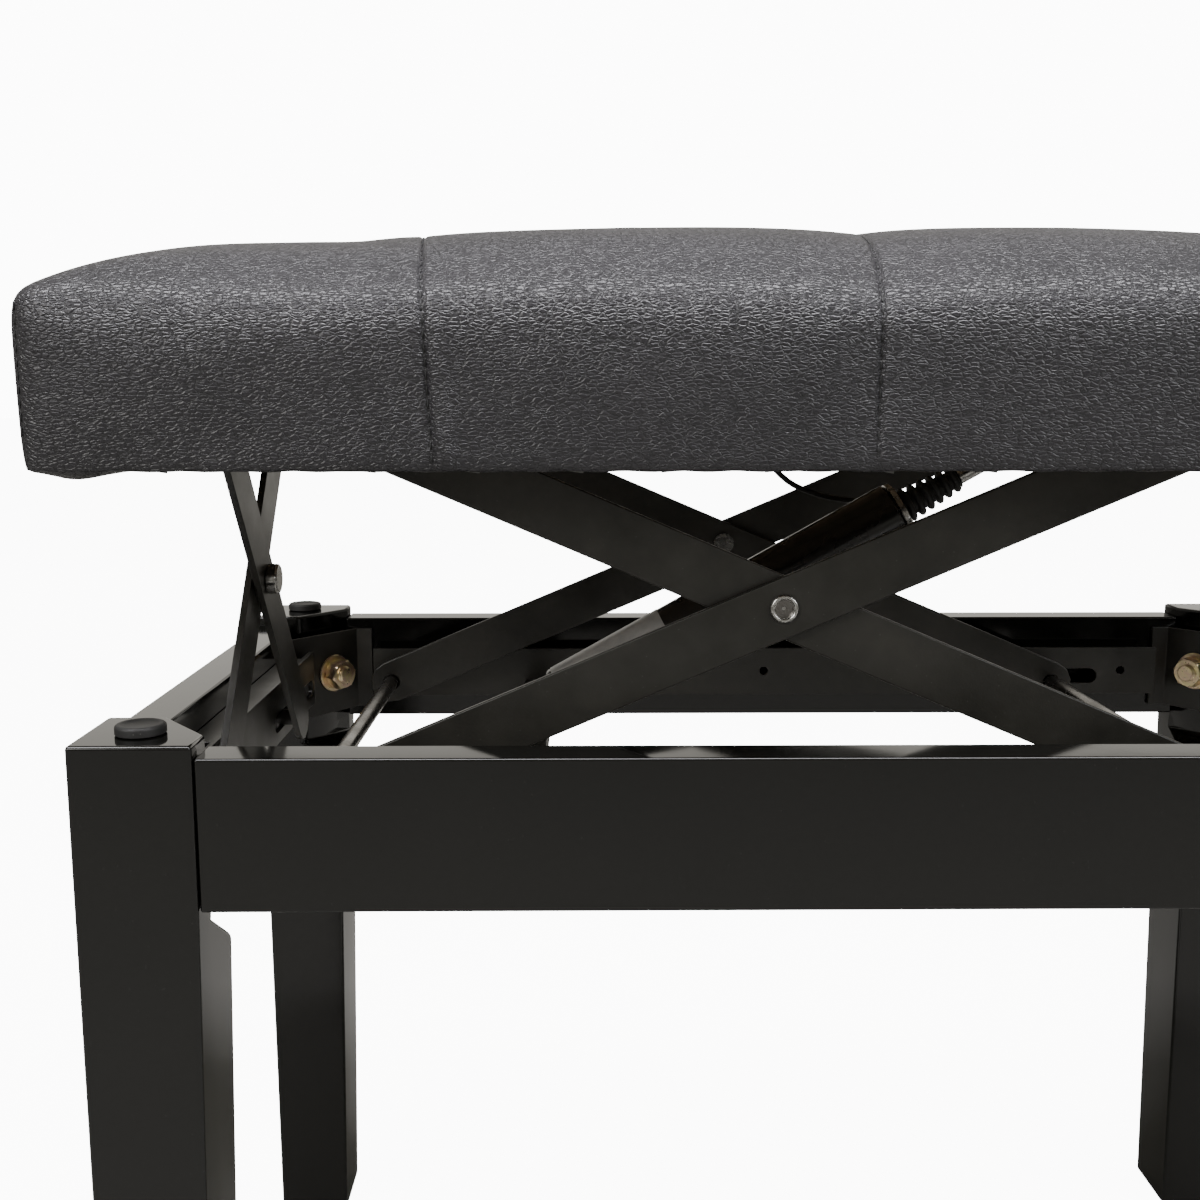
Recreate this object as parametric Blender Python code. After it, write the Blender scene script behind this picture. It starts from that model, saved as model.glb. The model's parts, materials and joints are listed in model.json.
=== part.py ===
"""Height-adjustable piano bench: a wooden leg frame, a steel scissor lift with a lockable
gas spring, and an upholstered seat. Metres, +Z up, origin on the floor under the middle.
The seat stands at its raised height; the main lift hinge is the lower left shaft."""

import math

import bpy
import bmesh
from mathutils import Vector

CLEAR = 0.0003  # between pieces that touch
PIVOT_CLEAR = 0.0003  # round a shaft in its hole

# Leg frame
FRAME_WIDTH = 0.577
FRAME_DEPTH = 0.325
LEG_TOP = 0.367
LEG_SIZE = 0.045
LEG_FOOT = 0.039
LEG_EDGE = 0.0015
NOTCH_X = 0.0218  # inner corner cut of a leg, along the width
NOTCH_Y = 0.0276  # and along the depth
NOTCH_BELOW_RAIL = 0.010
NOTCH_RUNOUT = 0.022
NOTCH_REACH = 2.0  # how far its cutter runs past the corner, in notch sizes
RAIL_HEIGHT = 0.0575
RAIL_THICK = 0.0188
LEG_PAST_RAIL = 0.0252  # legs' inner faces beyond the rails'
RAIL_DROP = 0.005
RAIL_EDGE = 0.001
BUMPER_RADIUS = 0.0092
BUMPER_HEIGHT = 0.004
BUMPER_EDGE = 0.0012
BUMPER_IN_X = 0.0215
BUMPER_IN_Y = 0.0185

# Corner brackets and bolts
BRACKET_THICK = 0.0025
BRACKET_OFF = 0.006  # from the notch face
BRACKET_SHORTER = 0.0115  # than the rail is high
BRACKET_FLANGE = 0.010
BOLT_RADIUS = 0.005
BOLT_DEPTH = 0.018
WASHER_RADIUS = 0.0105
WASHER_THICK = 0.0015
NUT_RADIUS = 0.0086
NUT_HEIGHT = 0.008
BOLT_PROUD = 0.002
BOLT_END_GAP = 0.001  # between the stud's end and the bottom of its hole

# Main scissor
ARM_IN = 0.0247  # from the long rail's inner face to the outer bars' outer face
ARM_WIDTH = 0.023
ARM_THICK = 0.003
ARM_GAP = 0.001
ARM_SHARE = 0.9486  # half of a bar's length, as a share of the fixed pivot's distance
PIVOT_DROP = 0.032  # from the rails' top to the lower pivots
LIFT_HEIGHT = 0.158  # from the lower pivots to the upper ones
FIXED_PIVOT_IN = 0.030  # from the legs' inner faces to the fixed pivots
SHAFT_RADIUS = 0.004
RIVET_RADIUS = 0.004
RIVET_HEAD = 0.0057
RIVET_HEAD_THICK = 0.0014
RIVET_LIP = 0.0008
RIVET_FLARE = 0.0018
RIVET_RECESS = 0.0024
LIFT_DOWN = math.radians(13.85)
LIFT_UP = math.radians(2.0)

# Steel channels that carry the shafts
CHANNEL_THICK = 0.0025
CHANNEL_ROOM = 0.010  # from the outer bar to the channel's web
CHANNEL_END = 0.012  # past the fixed shaft
WEB_BELOW = 0.008  # from the pivot line to the web's near edge
WEB_ABOVE = 0.0165
SLOT_SPARE = 0.0012
SHAFT_PAST_WEB = 0.003
CUT_PAST = 0.002  # how far a cutter runs past the plate that it cuts

# Side scissors
SIDE_IN = 0.0232  # from the side rail's inner face to the inner bar's inner face
SIDE_SHARE = 0.3128  # half of a side bar's length, as a share of the frame's depth
SIDE_PIVOT_IN = 0.013  # from the web's end to the fixed studs
SIDE_WIDTH = 0.0225
SIDE_RATIO = 2.4
SIDE_WEB_GAP = 0.003
SIDE_WEB_IN = 0.0095  # from the legs' inner faces to the web's ends
SIDE_FLANGE_IN = 0.020  # from the web's ends to the flange's ends
SIDE_PIN_RADIUS = 0.004
SIDE_FLOAT = 0.0033  # play of the open upper pivots
SIDE_NUT_RADIUS = 0.0068
SIDE_NUT_HEIGHT = 0.005
SIDE_NUT_EDGE = 0.0008
SIDE_HEAD_THICK = 0.0012
SIDE_STUD_PAST = 0.0015
SIDE_STUD_GAP = 0.0004  # from an upper stud's end to the batten

# Gas spring
GAS_LOW_IN = 0.0835  # from the fixed pivots to the cylinder's pivot
GAS_LOW_UP = 0.0098  # from the lower pivots to the cylinder's pivot
GAS_HIGH_IN = 0.025466  # from the upper sliding shaft back to the rod's pin
GAS_RADIUS = 0.014
GAS_EDGE = 0.0015
GAS_START = 0.0149
GAS_END_BACK = 0.10576  # from the rod's pin back to the cylinder's end
COLLAR_LENGTH = 0.0035
COLLAR_EDGE = 0.001
COLLAR_TAPER = 0.0018
GAS_BORE = 0.0045
GAS_BORE_DEPTH = 0.092
ROD_RADIUS = 0.004
ROD_INSIDE = 0.047
BOOT_LENGTH = 0.029
BOOT_RADIUS = 0.0070
BOOT_WAIST = 0.0052
BOOT_RIBS = 5
BOOT_TAPER = 0.0004  # each rib is this much smaller than the one before
BOOT_RIB_START = 0.3  # a rib's edges, as shares of the pitch
BOOT_RIB_END = 0.6
EYE_RADIUS = 0.008
EYE_HALF = 0.005
GAS_PIN_RADIUS = 0.003
HEAD_BACK = 0.03476  # from the rod's pin back to the end fitting's start
HEAD_HALF = 0.0075
HEAD_NECK = 0.0015
HEAD_SLOPE = 0.002
HEAD_ROUND = 0.004
HEAD_EDGE = 0.001
HEAD_PIN_PAST = 0.006
CROSSBAR_WIDTH = 0.016
CROSSBAR_HEIGHT = 0.012
CROSSBAR_DROP = 0.0015  # below the lower pivots
LUG_THICK = 0.003
LUG_ROOT = 0.004
LUG_SHARE = 0.9  # of the eye's radius
LUG_PIN_PAST = 0.001
GAS_FLOAT = 0.0045  # play of the open pivot at the rod's end
GAS_BRACKET_EDGE = 0.0045  # beside the open pivot's hole
GAS_BRACKET_LIP = 0.004  # and below it
GAS_BRACKET_ROOM = 0.002  # between the end fitting and a cheek

# Seat
SEAT_OVERHANG = 0.0095  # past the leg frame, on each side
SEAT_CORNER = 0.016
BATTEN_DROP = 0.022  # from the upper pivots to the battens' bottom
SEAT_PLATE_THICK = 0.0037
BATTEN_FRONT = 0.0325
BATTEN_CORNER = 0.015
COVER_THICK = 0.0035  # padding and leather outside the battens
BOARD_RISE = 0.015  # from the upper pivots to the board
BOARD_THICK = 0.010
BOARD_IN = 0.001
CUSHION_EDGE_RISE = 0.035
CUSHION_TOP_RISE = 0.068
CROWN_REACH = 0.045

# Release lever and its cable
LEVER_IN_Y = 0.067  # from the seat's front edge
LEVER_IN_X = 0.073  # from the seat's right edge to the lever's pin
LEVER_WIDTH = 0.014
LEVER_THICK = 0.005
LEVER_EDGE = 0.0012
LEVER_DROP = 0.003  # below the battens
LEVER_TAIL = 0.013
LEVER_TIP_IN = 0.004  # inside the seat's outline
LEVER_PIN = 0.0018
LEVER_NOTCH_DEPTH = 0.009
LEVER_NOTCH_ROOM = 0.0015
LEVER_ROOM = 0.0005  # between the lever and a cheek of its bracket
LEVER_PIN_CLEAR = 0.0002
LEVER_CHEEK = 0.0015
LEVER_BRACKET_HALF = 0.007
CABLE_RADIUS = 0.0014
CABLE_STEPS = 5  # points on the cable between two of its route

RAIL_TOP = LEG_TOP - RAIL_DROP
RAIL_BOTTOM = RAIL_TOP - RAIL_HEIGHT
RAIL_SETBACK = LEG_SIZE - LEG_PAST_RAIL - RAIL_THICK
RAIL_INNER_Y = FRAME_DEPTH / 2 - RAIL_SETBACK - RAIL_THICK
RAIL_INNER_X = FRAME_WIDTH / 2 - RAIL_SETBACK - RAIL_THICK
BRACKET_HEIGHT = RAIL_HEIGHT - BRACKET_SHORTER
LOWER_PIVOT_Z = RAIL_TOP - PIVOT_DROP
UPPER_PIVOT_Z = LOWER_PIVOT_Z + LIFT_HEIGHT
FIXED_PIVOT_X = FIXED_PIVOT_IN + LEG_SIZE - FRAME_WIDTH / 2
HALF_LENGTH = -FIXED_PIVOT_X * ARM_SHARE
ARM_ANGLE = math.asin(LIFT_HEIGHT / 2 / HALF_LENGTH)
SPREAD = HALF_LENGTH * math.cos(ARM_ANGLE)
PIVOT_X = FIXED_PIVOT_X + SPREAD
PIVOT_Z = LOWER_PIVOT_Z + LIFT_HEIGHT / 2
SLIDE_X = FIXED_PIVOT_X + 2 * SPREAD
SLIDE_FAR = FIXED_PIVOT_X + 2 * HALF_LENGTH * math.cos(ARM_ANGLE - LIFT_DOWN)
SLIDE_NEAR = FIXED_PIVOT_X + 2 * HALF_LENGTH * math.cos(ARM_ANGLE + LIFT_UP)
ARM_PLANE = RAIL_INNER_Y - ARM_IN
ARM_INNER = ARM_PLANE - 2 * ARM_THICK - ARM_GAP
WEB_INNER = ARM_PLANE + CHANNEL_ROOM
WEB_OUTER = WEB_INNER + CHANNEL_THICK
CHANNEL_HALF = -FIXED_PIVOT_X + CHANNEL_END
SHAFT_HALF = WEB_OUTER + SHAFT_PAST_WEB
SIDE_PLANE = RAIL_INNER_X - SIDE_IN
SIDE_OUTER = SIDE_PLANE + 2 * ARM_THICK + ARM_GAP
SIDE_WEB = SIDE_OUTER + SIDE_WEB_GAP
SIDE_WEB_HALF = FRAME_DEPTH / 2 - LEG_SIZE - SIDE_WEB_IN
SIDE_FLANGE_HALF = SIDE_WEB_HALF - SIDE_FLANGE_IN
SIDE_FIXED_Y = SIDE_PIVOT_IN - SIDE_WEB_HALF
SIDE_HALF = FRAME_DEPTH * SIDE_SHARE
SIDE_ANGLE = math.asin(LIFT_HEIGHT / 2 / SIDE_HALF)
SIDE_PIVOT_Y = SIDE_FIXED_Y + SIDE_HALF * math.cos(SIDE_ANGLE)
SIDE_SLIDE_Y = SIDE_FIXED_Y + 2 * SIDE_HALF * math.cos(SIDE_ANGLE)
SIDE_FAR = SIDE_FIXED_Y + 2 * SIDE_HALF * math.cos(SIDE_ANGLE - SIDE_RATIO * LIFT_DOWN)
SIDE_NEAR = SIDE_FIXED_Y + 2 * SIDE_HALF * math.cos(SIDE_ANGLE + SIDE_RATIO * LIFT_UP)
GAS_LOW_X = FIXED_PIVOT_X + GAS_LOW_IN
GAS_LOW_Z = LOWER_PIVOT_Z + GAS_LOW_UP
GAS_HIGH_X = SLIDE_X - GAS_HIGH_IN
GAS_AXIS = Vector((GAS_HIGH_X - GAS_LOW_X, 0, UPPER_PIVOT_Z - GAS_LOW_Z))
GAS_LENGTH = GAS_AXIS.length
GAS_AXIS.normalize()
GAS_END = GAS_LENGTH - GAS_END_BACK
GAS_BORE_START = GAS_END - GAS_BORE_DEPTH
ROD_START = GAS_END - ROD_INSIDE
HEAD_START = GAS_LENGTH - HEAD_BACK
SEAT_HALF_X = FRAME_WIDTH / 2 + SEAT_OVERHANG
SEAT_HALF_Y = FRAME_DEPTH / 2 + SEAT_OVERHANG
BATTEN_X = SEAT_HALF_X - COVER_THICK
BATTEN_Y = SEAT_HALF_Y - COVER_THICK
BATTEN_SIDE = BATTEN_X - CLEAR - SEAT_PLATE_THICK - SIDE_WEB
BATTEN_BOTTOM = UPPER_PIVOT_Z - BATTEN_DROP
BOARD_BOTTOM = UPPER_PIVOT_Z + BOARD_RISE
CUSHION_EDGE = UPPER_PIVOT_Z + CUSHION_EDGE_RISE
CUSHION_TOP = UPPER_PIVOT_Z + CUSHION_TOP_RISE
LEVER_Y = LEVER_IN_Y - SEAT_HALF_Y
LEVER_PIVOT_X = SEAT_HALF_X - LEVER_IN_X
LEVER_TOP = BATTEN_BOTTOM - LEVER_DROP


def clearScene():
    for item in list(bpy.data.objects):
        bpy.data.objects.remove(item)


def material(name, color, roughness, metallic=0.0):
    made = bpy.data.materials.get(name)
    if made:
        return made
    made = bpy.data.materials.new(name)
    made.use_nodes = True
    shader = made.node_tree.nodes["Principled BSDF"]
    shader.inputs["Base Color"].default_value = (*color, 1)
    shader.inputs["Roughness"].default_value = roughness
    shader.inputs["Metallic"].default_value = metallic
    return made


def lacquer():
    return material("black_lacquer", (0.012, 0.012, 0.011), 0.08)


def blackSteel():
    return material("black_steel", (0.022, 0.022, 0.02), 0.35, 0.3)


def brightSteel():
    return material("bright_steel", (0.62, 0.62, 0.62), 0.22, 1.0)


def zinc():
    return material("yellow_zinc", (0.65, 0.52, 0.25), 0.3, 1.0)


def rubber():
    return material("rubber", (0.02, 0.02, 0.02), 0.7)


def leather():
    return material("grey_leather", (0.06, 0.058, 0.063), 0.45)


def plywood():
    return material("plywood", (0.45, 0.32, 0.2), 0.7)


def blackPlastic():
    return material("black_plastic", (0.02, 0.02, 0.02), 0.45)


def fromBmesh(name, work, surface):
    bmesh.ops.recalc_face_normals(work, faces=work.faces)
    mesh = bpy.data.meshes.new(name)
    work.to_mesh(mesh)
    work.free()
    mesh.materials.append(surface)
    made = bpy.data.objects.new(name, mesh)
    bpy.context.scene.collection.objects.link(made)
    return made


def bevel(target, width, segments=2):
    added = target.modifiers.new("edges", "BEVEL")
    added.width = width
    added.segments = segments
    added.limit_method = "ANGLE"
    added.angle_limit = math.radians(40)
    added.use_clamp_overlap = True


def box(name, low, high, surface, edge=0.0):
    work = bmesh.new()
    bmesh.ops.create_cube(work, size=1.0)
    for vertex in work.verts:
        vertex.co = [
            low[axis] if vertex.co[axis] < 0 else high[axis] for axis in range(3)
        ]
    made = fromBmesh(name, work, surface)
    if edge:
        bevel(made, edge)
    return made


def prism(name, outline, plane, low, high, surface):
    """Extrudes a 2D outline from low to high; plane names the outline's two axes."""
    order = {"XY": (0, 1, 2), "XZ": (0, 2, 1), "YZ": (1, 2, 0)}[plane]
    work = bmesh.new()
    rings = []
    for level in (low, high):
        ring = []
        for point in outline:
            place = [0.0, 0.0, 0.0]
            place[order[0]] = point[0]
            place[order[1]] = point[1]
            place[order[2]] = level
            ring.append(work.verts.new(place))
        rings.append(ring)
    work.faces.new(rings[0])
    work.faces.new(rings[1])
    for index in range(len(outline)):
        after = (index + 1) % len(outline)
        work.faces.new(
            (rings[0][index], rings[0][after], rings[1][after], rings[1][index])
        )
    return fromBmesh(name, work, surface)


def turned(name, profile, base, direction, surface, sides=20, ring=False):
    """Turns (distance, radius) points about a line; ring joins the last point to the first."""
    along = Vector(direction).normalized()
    across = along.orthogonal().normalized()
    third = along.cross(across)
    base = Vector(base)
    work = bmesh.new()
    loops = []
    for distance, radius in profile:
        centre = base + along * distance
        if radius == 0:
            loops.append([work.verts.new(centre)])
            continue
        loop = []
        for index in range(sides):
            turn = math.tau * (index + 0.5) / sides
            offset = across * math.cos(turn) + third * math.sin(turn)
            loop.append(work.verts.new(centre + offset * radius))
        loops.append(loop)
    pairs = list(zip(loops, loops[1:]))
    if ring:
        pairs.append((loops[-1], loops[0]))
    else:
        for end in (loops[0], loops[-1]):
            if len(end) > 1:
                work.faces.new(end)
    for first, second in pairs:
        for index in range(sides):
            after = (index + 1) % sides
            corners = [
                first[index % len(first)],
                first[after % len(first)],
                second[after % len(second)],
                second[index % len(second)],
            ]
            work.faces.new(list(dict.fromkeys(corners)))
    made = fromBmesh(name, work, surface)
    made.data.shade_smooth()
    made.data.set_sharp_from_angle(angle=math.radians(35))
    return made


def rod(name, start, end, radius, surface, sides=20):
    span = Vector(end) - Vector(start)
    return turned(name, [(0, radius), (span.length, radius)], start, span, surface, sides)


def helper(made):
    made.hide_render = True
    made.display_type = "WIRE"
    return made


def combine(target, other, operation):
    added = target.modifiers.new(other.name, "BOOLEAN")
    added.operation = operation
    added.solver = "EXACT"
    added.object = helper(other)
    target.modifiers.move(len(target.modifiers) - 1, 0)


def cut(target, cutter):
    combine(target, cutter, "DIFFERENCE")


def join(target, extra):
    combine(target, extra, "UNION")


def originAt(target, point):
    """Puts a moving piece's origin on its joint."""
    point = Vector(point)
    for vertex in target.data.vertices:
        vertex.co -= point
    target.location = point


def stadium(start, end, half, steps=7):
    """Outline of a flat bar with round ends between two 2D points."""
    angle = math.atan2(end[1] - start[1], end[0] - start[0])
    points = []
    for centre, first in ((end, angle - math.pi / 2), (start, angle + math.pi / 2)):
        for step in range(steps):
            turn = first + math.pi * step / (steps - 1)
            points.append(
                (centre[0] + half * math.cos(turn), centre[1] + half * math.sin(turn))
            )
    return points


def roundedRectangle(half_x, half_y, radius, steps=5):
    points = []
    quarters = ((1, 1, 0), (-1, 1, 90), (-1, -1, 180), (1, -1, 270))
    for sign_x, sign_y, first in quarters:
        for step in range(steps):
            turn = math.radians(first + 90 * step / (steps - 1))
            points.append(
                (
                    sign_x * (half_x - radius) + radius * math.cos(turn),
                    sign_y * (half_y - radius) + radius * math.sin(turn),
                )
            )
    return points


def corners():
    """Name and signs of the four corners."""
    return (
        ("front_left", -1, -1),
        ("front_right", 1, -1),
        ("back_left", -1, 1),
        ("back_right", 1, 1),
    )


def notchMiddle(sign_x, sign_y):
    """Middle of a leg's notch face, and the direction out of it."""
    outer_x = FRAME_WIDTH / 2 - LEG_SIZE
    outer_y = FRAME_DEPTH / 2 - LEG_SIZE
    middle = Vector(
        (
            sign_x * (outer_x + NOTCH_X / 2),
            sign_y * (outer_y + NOTCH_Y / 2),
            RAIL_TOP - RAIL_HEIGHT / 2,
        )
    )
    out = Vector((-sign_x * NOTCH_Y, -sign_y * NOTCH_X, 0)).normalized()
    return middle, out


def leg(name, sign_x, sign_y):
    half_x = FRAME_WIDTH / 2
    half_y = FRAME_DEPTH / 2
    work = bmesh.new()
    rings = []
    for level, size in ((0, LEG_FOOT), (RAIL_BOTTOM, LEG_SIZE), (LEG_TOP, LEG_SIZE)):
        ring = [
            work.verts.new((sign_x * x, sign_y * y, level))
            for x, y in (
                (half_x, half_y),
                (half_x - size, half_y),
                (half_x - size, half_y - size),
                (half_x, half_y - size),
            )
        ]
        rings.append(ring)
    work.faces.new(rings[0])
    work.faces.new(rings[-1])
    for first, second in zip(rings, rings[1:]):
        for index in range(4):
            after = (index + 1) % 4
            work.faces.new((first[index], first[after], second[after], second[index]))
    made = fromBmesh(name, work, lacquer())
    bevel(made, LEG_EDGE)
    cut(made, notchCutter(name, sign_x, sign_y))
    middle, out = notchMiddle(sign_x, sign_y)
    hole = rod(
        name + "_bolt_hole",
        middle - out * (BOLT_DEPTH + BOLT_END_GAP),
        middle + out * BRACKET_OFF,
        BOLT_RADIUS + PIVOT_CLEAR,
        lacquer(),
    )
    cut(made, hole)
    return made


def notchCutter(name, sign_x, sign_y):
    """A wedge over the leg's inner corner that slopes out below the rails."""
    inner_x = FRAME_WIDTH / 2 - LEG_SIZE
    inner_y = FRAME_DEPTH / 2 - LEG_SIZE
    reach = NOTCH_REACH
    corner = (inner_x - reach * NOTCH_X, inner_y - reach * NOTCH_Y)
    along_x = (inner_x + NOTCH_X + reach * NOTCH_X, corner[1])
    along_y = (corner[0], inner_y + NOTCH_Y + reach * NOTCH_Y)
    bottom = RAIL_BOTTOM - NOTCH_BELOW_RAIL
    middle, out = notchMiddle(sign_x, sign_y)
    work = bmesh.new()
    top = LEG_TOP + LEG_SIZE
    outline = [corner, along_x, along_y]
    uppers = [work.verts.new((sign_x * x, sign_y * y, top)) for x, y in outline]
    lowers = []
    for x, y in outline:
        place = Vector((sign_x * x, sign_y * y, bottom))
        depth = (place - middle).dot(out)
        place.z = bottom - NOTCH_RUNOUT * depth / NOTCH_X
        lowers.append(work.verts.new(place))
    work.faces.new(uppers)
    work.faces.new(lowers)
    for index in range(3):
        after = (index + 1) % 3
        work.faces.new((uppers[index], uppers[after], lowers[after], lowers[index]))
    return fromBmesh(name + "_notch", work, lacquer())


def legFrame():
    for label, sign_x, sign_y in corners():
        leg("leg_" + label, sign_x, sign_y)
        bumper("bumper_" + label, sign_x, sign_y)
    end_x = FRAME_WIDTH / 2 - LEG_SIZE - CLEAR
    end_y = FRAME_DEPTH / 2 - LEG_SIZE - CLEAR
    outer_x = FRAME_WIDTH / 2 - RAIL_SETBACK
    outer_y = FRAME_DEPTH / 2 - RAIL_SETBACK
    for label, sign in (("front", -1), ("back", 1)):
        low_y, high_y = sorted((sign * outer_y, sign * RAIL_INNER_Y))
        box(
            "rail_" + label,
            (-end_x, low_y, RAIL_BOTTOM),
            (end_x, high_y, RAIL_TOP),
            lacquer(),
            RAIL_EDGE,
        )
    for label, sign in (("left", -1), ("right", 1)):
        low_x, high_x = sorted((sign * outer_x, sign * RAIL_INNER_X))
        box(
            "rail_" + label,
            (low_x, -end_y, RAIL_BOTTOM),
            (high_x, end_y, RAIL_TOP),
            lacquer(),
            RAIL_EDGE,
        )


def bumper(name, sign_x, sign_y):
    profile = [
        (0, BUMPER_RADIUS),
        (BUMPER_HEIGHT - CLEAR - BUMPER_EDGE, BUMPER_RADIUS),
        (BUMPER_HEIGHT - CLEAR, BUMPER_RADIUS - BUMPER_EDGE),
    ]
    base = (
        sign_x * (FRAME_WIDTH / 2 - BUMPER_IN_X),
        sign_y * (FRAME_DEPTH / 2 - BUMPER_IN_Y),
        LEG_TOP + CLEAR,
    )
    turned(name, profile, base, (0, 0, 1), rubber())


def cornerBracket(label, sign_x, sign_y):
    """A folded plate across the corner, with a short flange on each rail."""
    middle, out = notchMiddle(1, 1)
    slope = NOTCH_Y / NOTCH_X

    def onLine(distance, x=None, y=None):
        """Point on the line parallel to the notch face at this distance from it."""
        foot = middle + out * distance
        if x is None:
            return (foot.x - (y - foot.y) / slope, y)
        return (x, foot.y - (x - foot.x) * slope)

    near = BRACKET_OFF
    far = BRACKET_OFF + BRACKET_THICK
    rail_y = RAIL_INNER_Y - CLEAR
    rail_x = RAIL_INNER_X - CLEAR
    start = onLine(near, y=rail_y)
    finish = onLine(near, x=rail_x)
    start_in = onLine(far, y=rail_y - BRACKET_THICK)
    finish_in = onLine(far, x=rail_x - BRACKET_THICK)
    outline = [
        (start[0] - BRACKET_FLANGE, rail_y),
        start,
        finish,
        (rail_x, finish[1] - BRACKET_FLANGE),
        (rail_x - BRACKET_THICK, finish[1] - BRACKET_FLANGE),
        finish_in,
        start_in,
        (start[0] - BRACKET_FLANGE, rail_y - BRACKET_THICK),
    ]
    level = RAIL_TOP - RAIL_HEIGHT / 2
    signed = [(sign_x * x, sign_y * y) for x, y in outline]
    made = prism(
        "corner_bracket_" + label,
        signed,
        "XY",
        level - BRACKET_HEIGHT / 2,
        level + BRACKET_HEIGHT / 2,
        blackSteel(),
    )
    centre, away = notchMiddle(sign_x, sign_y)
    hole = rod(
        label + "_bracket_hole",
        centre,
        centre + away * (BRACKET_OFF + 2 * BRACKET_THICK),
        BOLT_RADIUS + PIVOT_CLEAR,
        blackSteel(),
    )
    cut(made, hole)


def cornerBolt(label, sign_x, sign_y):
    """Threaded stud with its washer and hexagon nut."""
    centre, away = notchMiddle(sign_x, sign_y)
    seat = BRACKET_OFF + BRACKET_THICK + CLEAR
    washer_end = seat + WASHER_THICK
    nut_end = washer_end + NUT_HEIGHT
    profile = [
        (-BOLT_DEPTH, BOLT_RADIUS),
        (seat, BOLT_RADIUS),
        (seat, WASHER_RADIUS),
        (washer_end, WASHER_RADIUS),
        (washer_end, BOLT_RADIUS),
        (nut_end + BOLT_PROUD, BOLT_RADIUS),
    ]
    made = turned("corner_bolt_" + label, profile, centre, away, zinc(), sides=24)
    start = centre + away * (washer_end - WASHER_THICK / 2)
    nut = rod(label + "_nut", start, centre + away * nut_end, NUT_RADIUS, zinc(), sides=6)
    join(made, nut)


def longChannel(name, sign_y, seat_side):
    """Angle section along the width: a web with a pivot hole and a slot, and a flange."""
    pivot_z = UPPER_PIVOT_Z if seat_side else LOWER_PIVOT_Z
    if seat_side:
        low_z = pivot_z - WEB_ABOVE
        high_z = BOARD_BOTTOM - CLEAR
        flange_low = high_z - CHANNEL_THICK
        flange_high = high_z
        reach = BATTEN_Y - BATTEN_FRONT - CLEAR
    else:
        low_z = pivot_z - WEB_BELOW - CHANNEL_THICK
        high_z = pivot_z + WEB_ABOVE
        flange_low = low_z
        flange_high = low_z + CHANNEL_THICK
        reach = RAIL_INNER_Y - CLEAR
    if seat_side:
        outline = [
            (WEB_INNER, low_z),
            (WEB_OUTER, low_z),
            (WEB_OUTER, flange_low),
            (reach, flange_low),
            (reach, flange_high),
            (WEB_INNER, flange_high),
        ]
    else:
        outline = [
            (WEB_INNER, flange_low),
            (reach, flange_low),
            (reach, flange_high),
            (WEB_OUTER, flange_high),
            (WEB_OUTER, high_z),
            (WEB_INNER, high_z),
        ]
    signed = [(sign_y * y, z) for y, z in outline]
    made = prism(name, signed, "YZ", -CHANNEL_HALF, CHANNEL_HALF, blackSteel())
    hole = rod(
        name + "_hole",
        (FIXED_PIVOT_X, sign_y * (WEB_INNER - CUT_PAST), pivot_z),
        (FIXED_PIVOT_X, sign_y * (WEB_OUTER + CUT_PAST), pivot_z),
        SHAFT_RADIUS + PIVOT_CLEAR,
        blackSteel(),
    )
    cut(made, hole)
    low_y, high_y = sorted((sign_y * (WEB_INNER - CUT_PAST), sign_y * (WEB_OUTER + CUT_PAST)))
    slot = prism(
        name + "_slot",
        stadium(
            (SLIDE_NEAR - SLOT_SPARE, pivot_z),
            (SLIDE_FAR + SLOT_SPARE, pivot_z),
            SHAFT_RADIUS + PIVOT_CLEAR,
        ),
        "XZ",
        low_y,
        high_y,
        blackSteel(),
    )
    cut(made, slot)
    return made


def baseSideChannel(name, sign_x):
    """Angle section along the depth, fixed to the side rail by its top flange."""
    low_z = LOWER_PIVOT_Z - WEB_BELOW - CHANNEL_THICK
    high_z = LOWER_PIVOT_Z + WEB_ABOVE + CHANNEL_THICK
    web_out = SIDE_WEB + CHANNEL_THICK
    low_x, high_x = sorted((sign_x * SIDE_WEB, sign_x * web_out))
    made = box(
        name,
        (low_x, -SIDE_WEB_HALF, low_z),
        (high_x, SIDE_WEB_HALF, high_z),
        blackSteel(),
    )
    low_x, high_x = sorted((sign_x * (SIDE_WEB + CLEAR), sign_x * (RAIL_INNER_X - CLEAR)))
    flange = box(
        name + "_flange",
        (low_x, -SIDE_FLANGE_HALF, high_z - CHANNEL_THICK),
        (high_x, SIDE_FLANGE_HALF, high_z),
        blackSteel(),
    )
    cutSideHoles(made, sign_x, LOWER_PIVOT_Z, PIVOT_CLEAR)
    join(made, flange)


def seatSidePlate(name, sign_x):
    """Flat plate on the side batten that carries the side scissor's upper studs."""
    low_z = UPPER_PIVOT_Z - WEB_ABOVE
    outer = SIDE_WEB + SEAT_PLATE_THICK
    low_x, high_x = sorted((sign_x * SIDE_WEB, sign_x * outer))
    made = box(
        name,
        (low_x, -SIDE_WEB_HALF, low_z),
        (high_x, SIDE_WEB_HALF, BOARD_BOTTOM - CLEAR),
        blackSteel(),
    )
    cutSideHoles(made, sign_x, UPPER_PIVOT_Z, SIDE_FLOAT)


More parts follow.
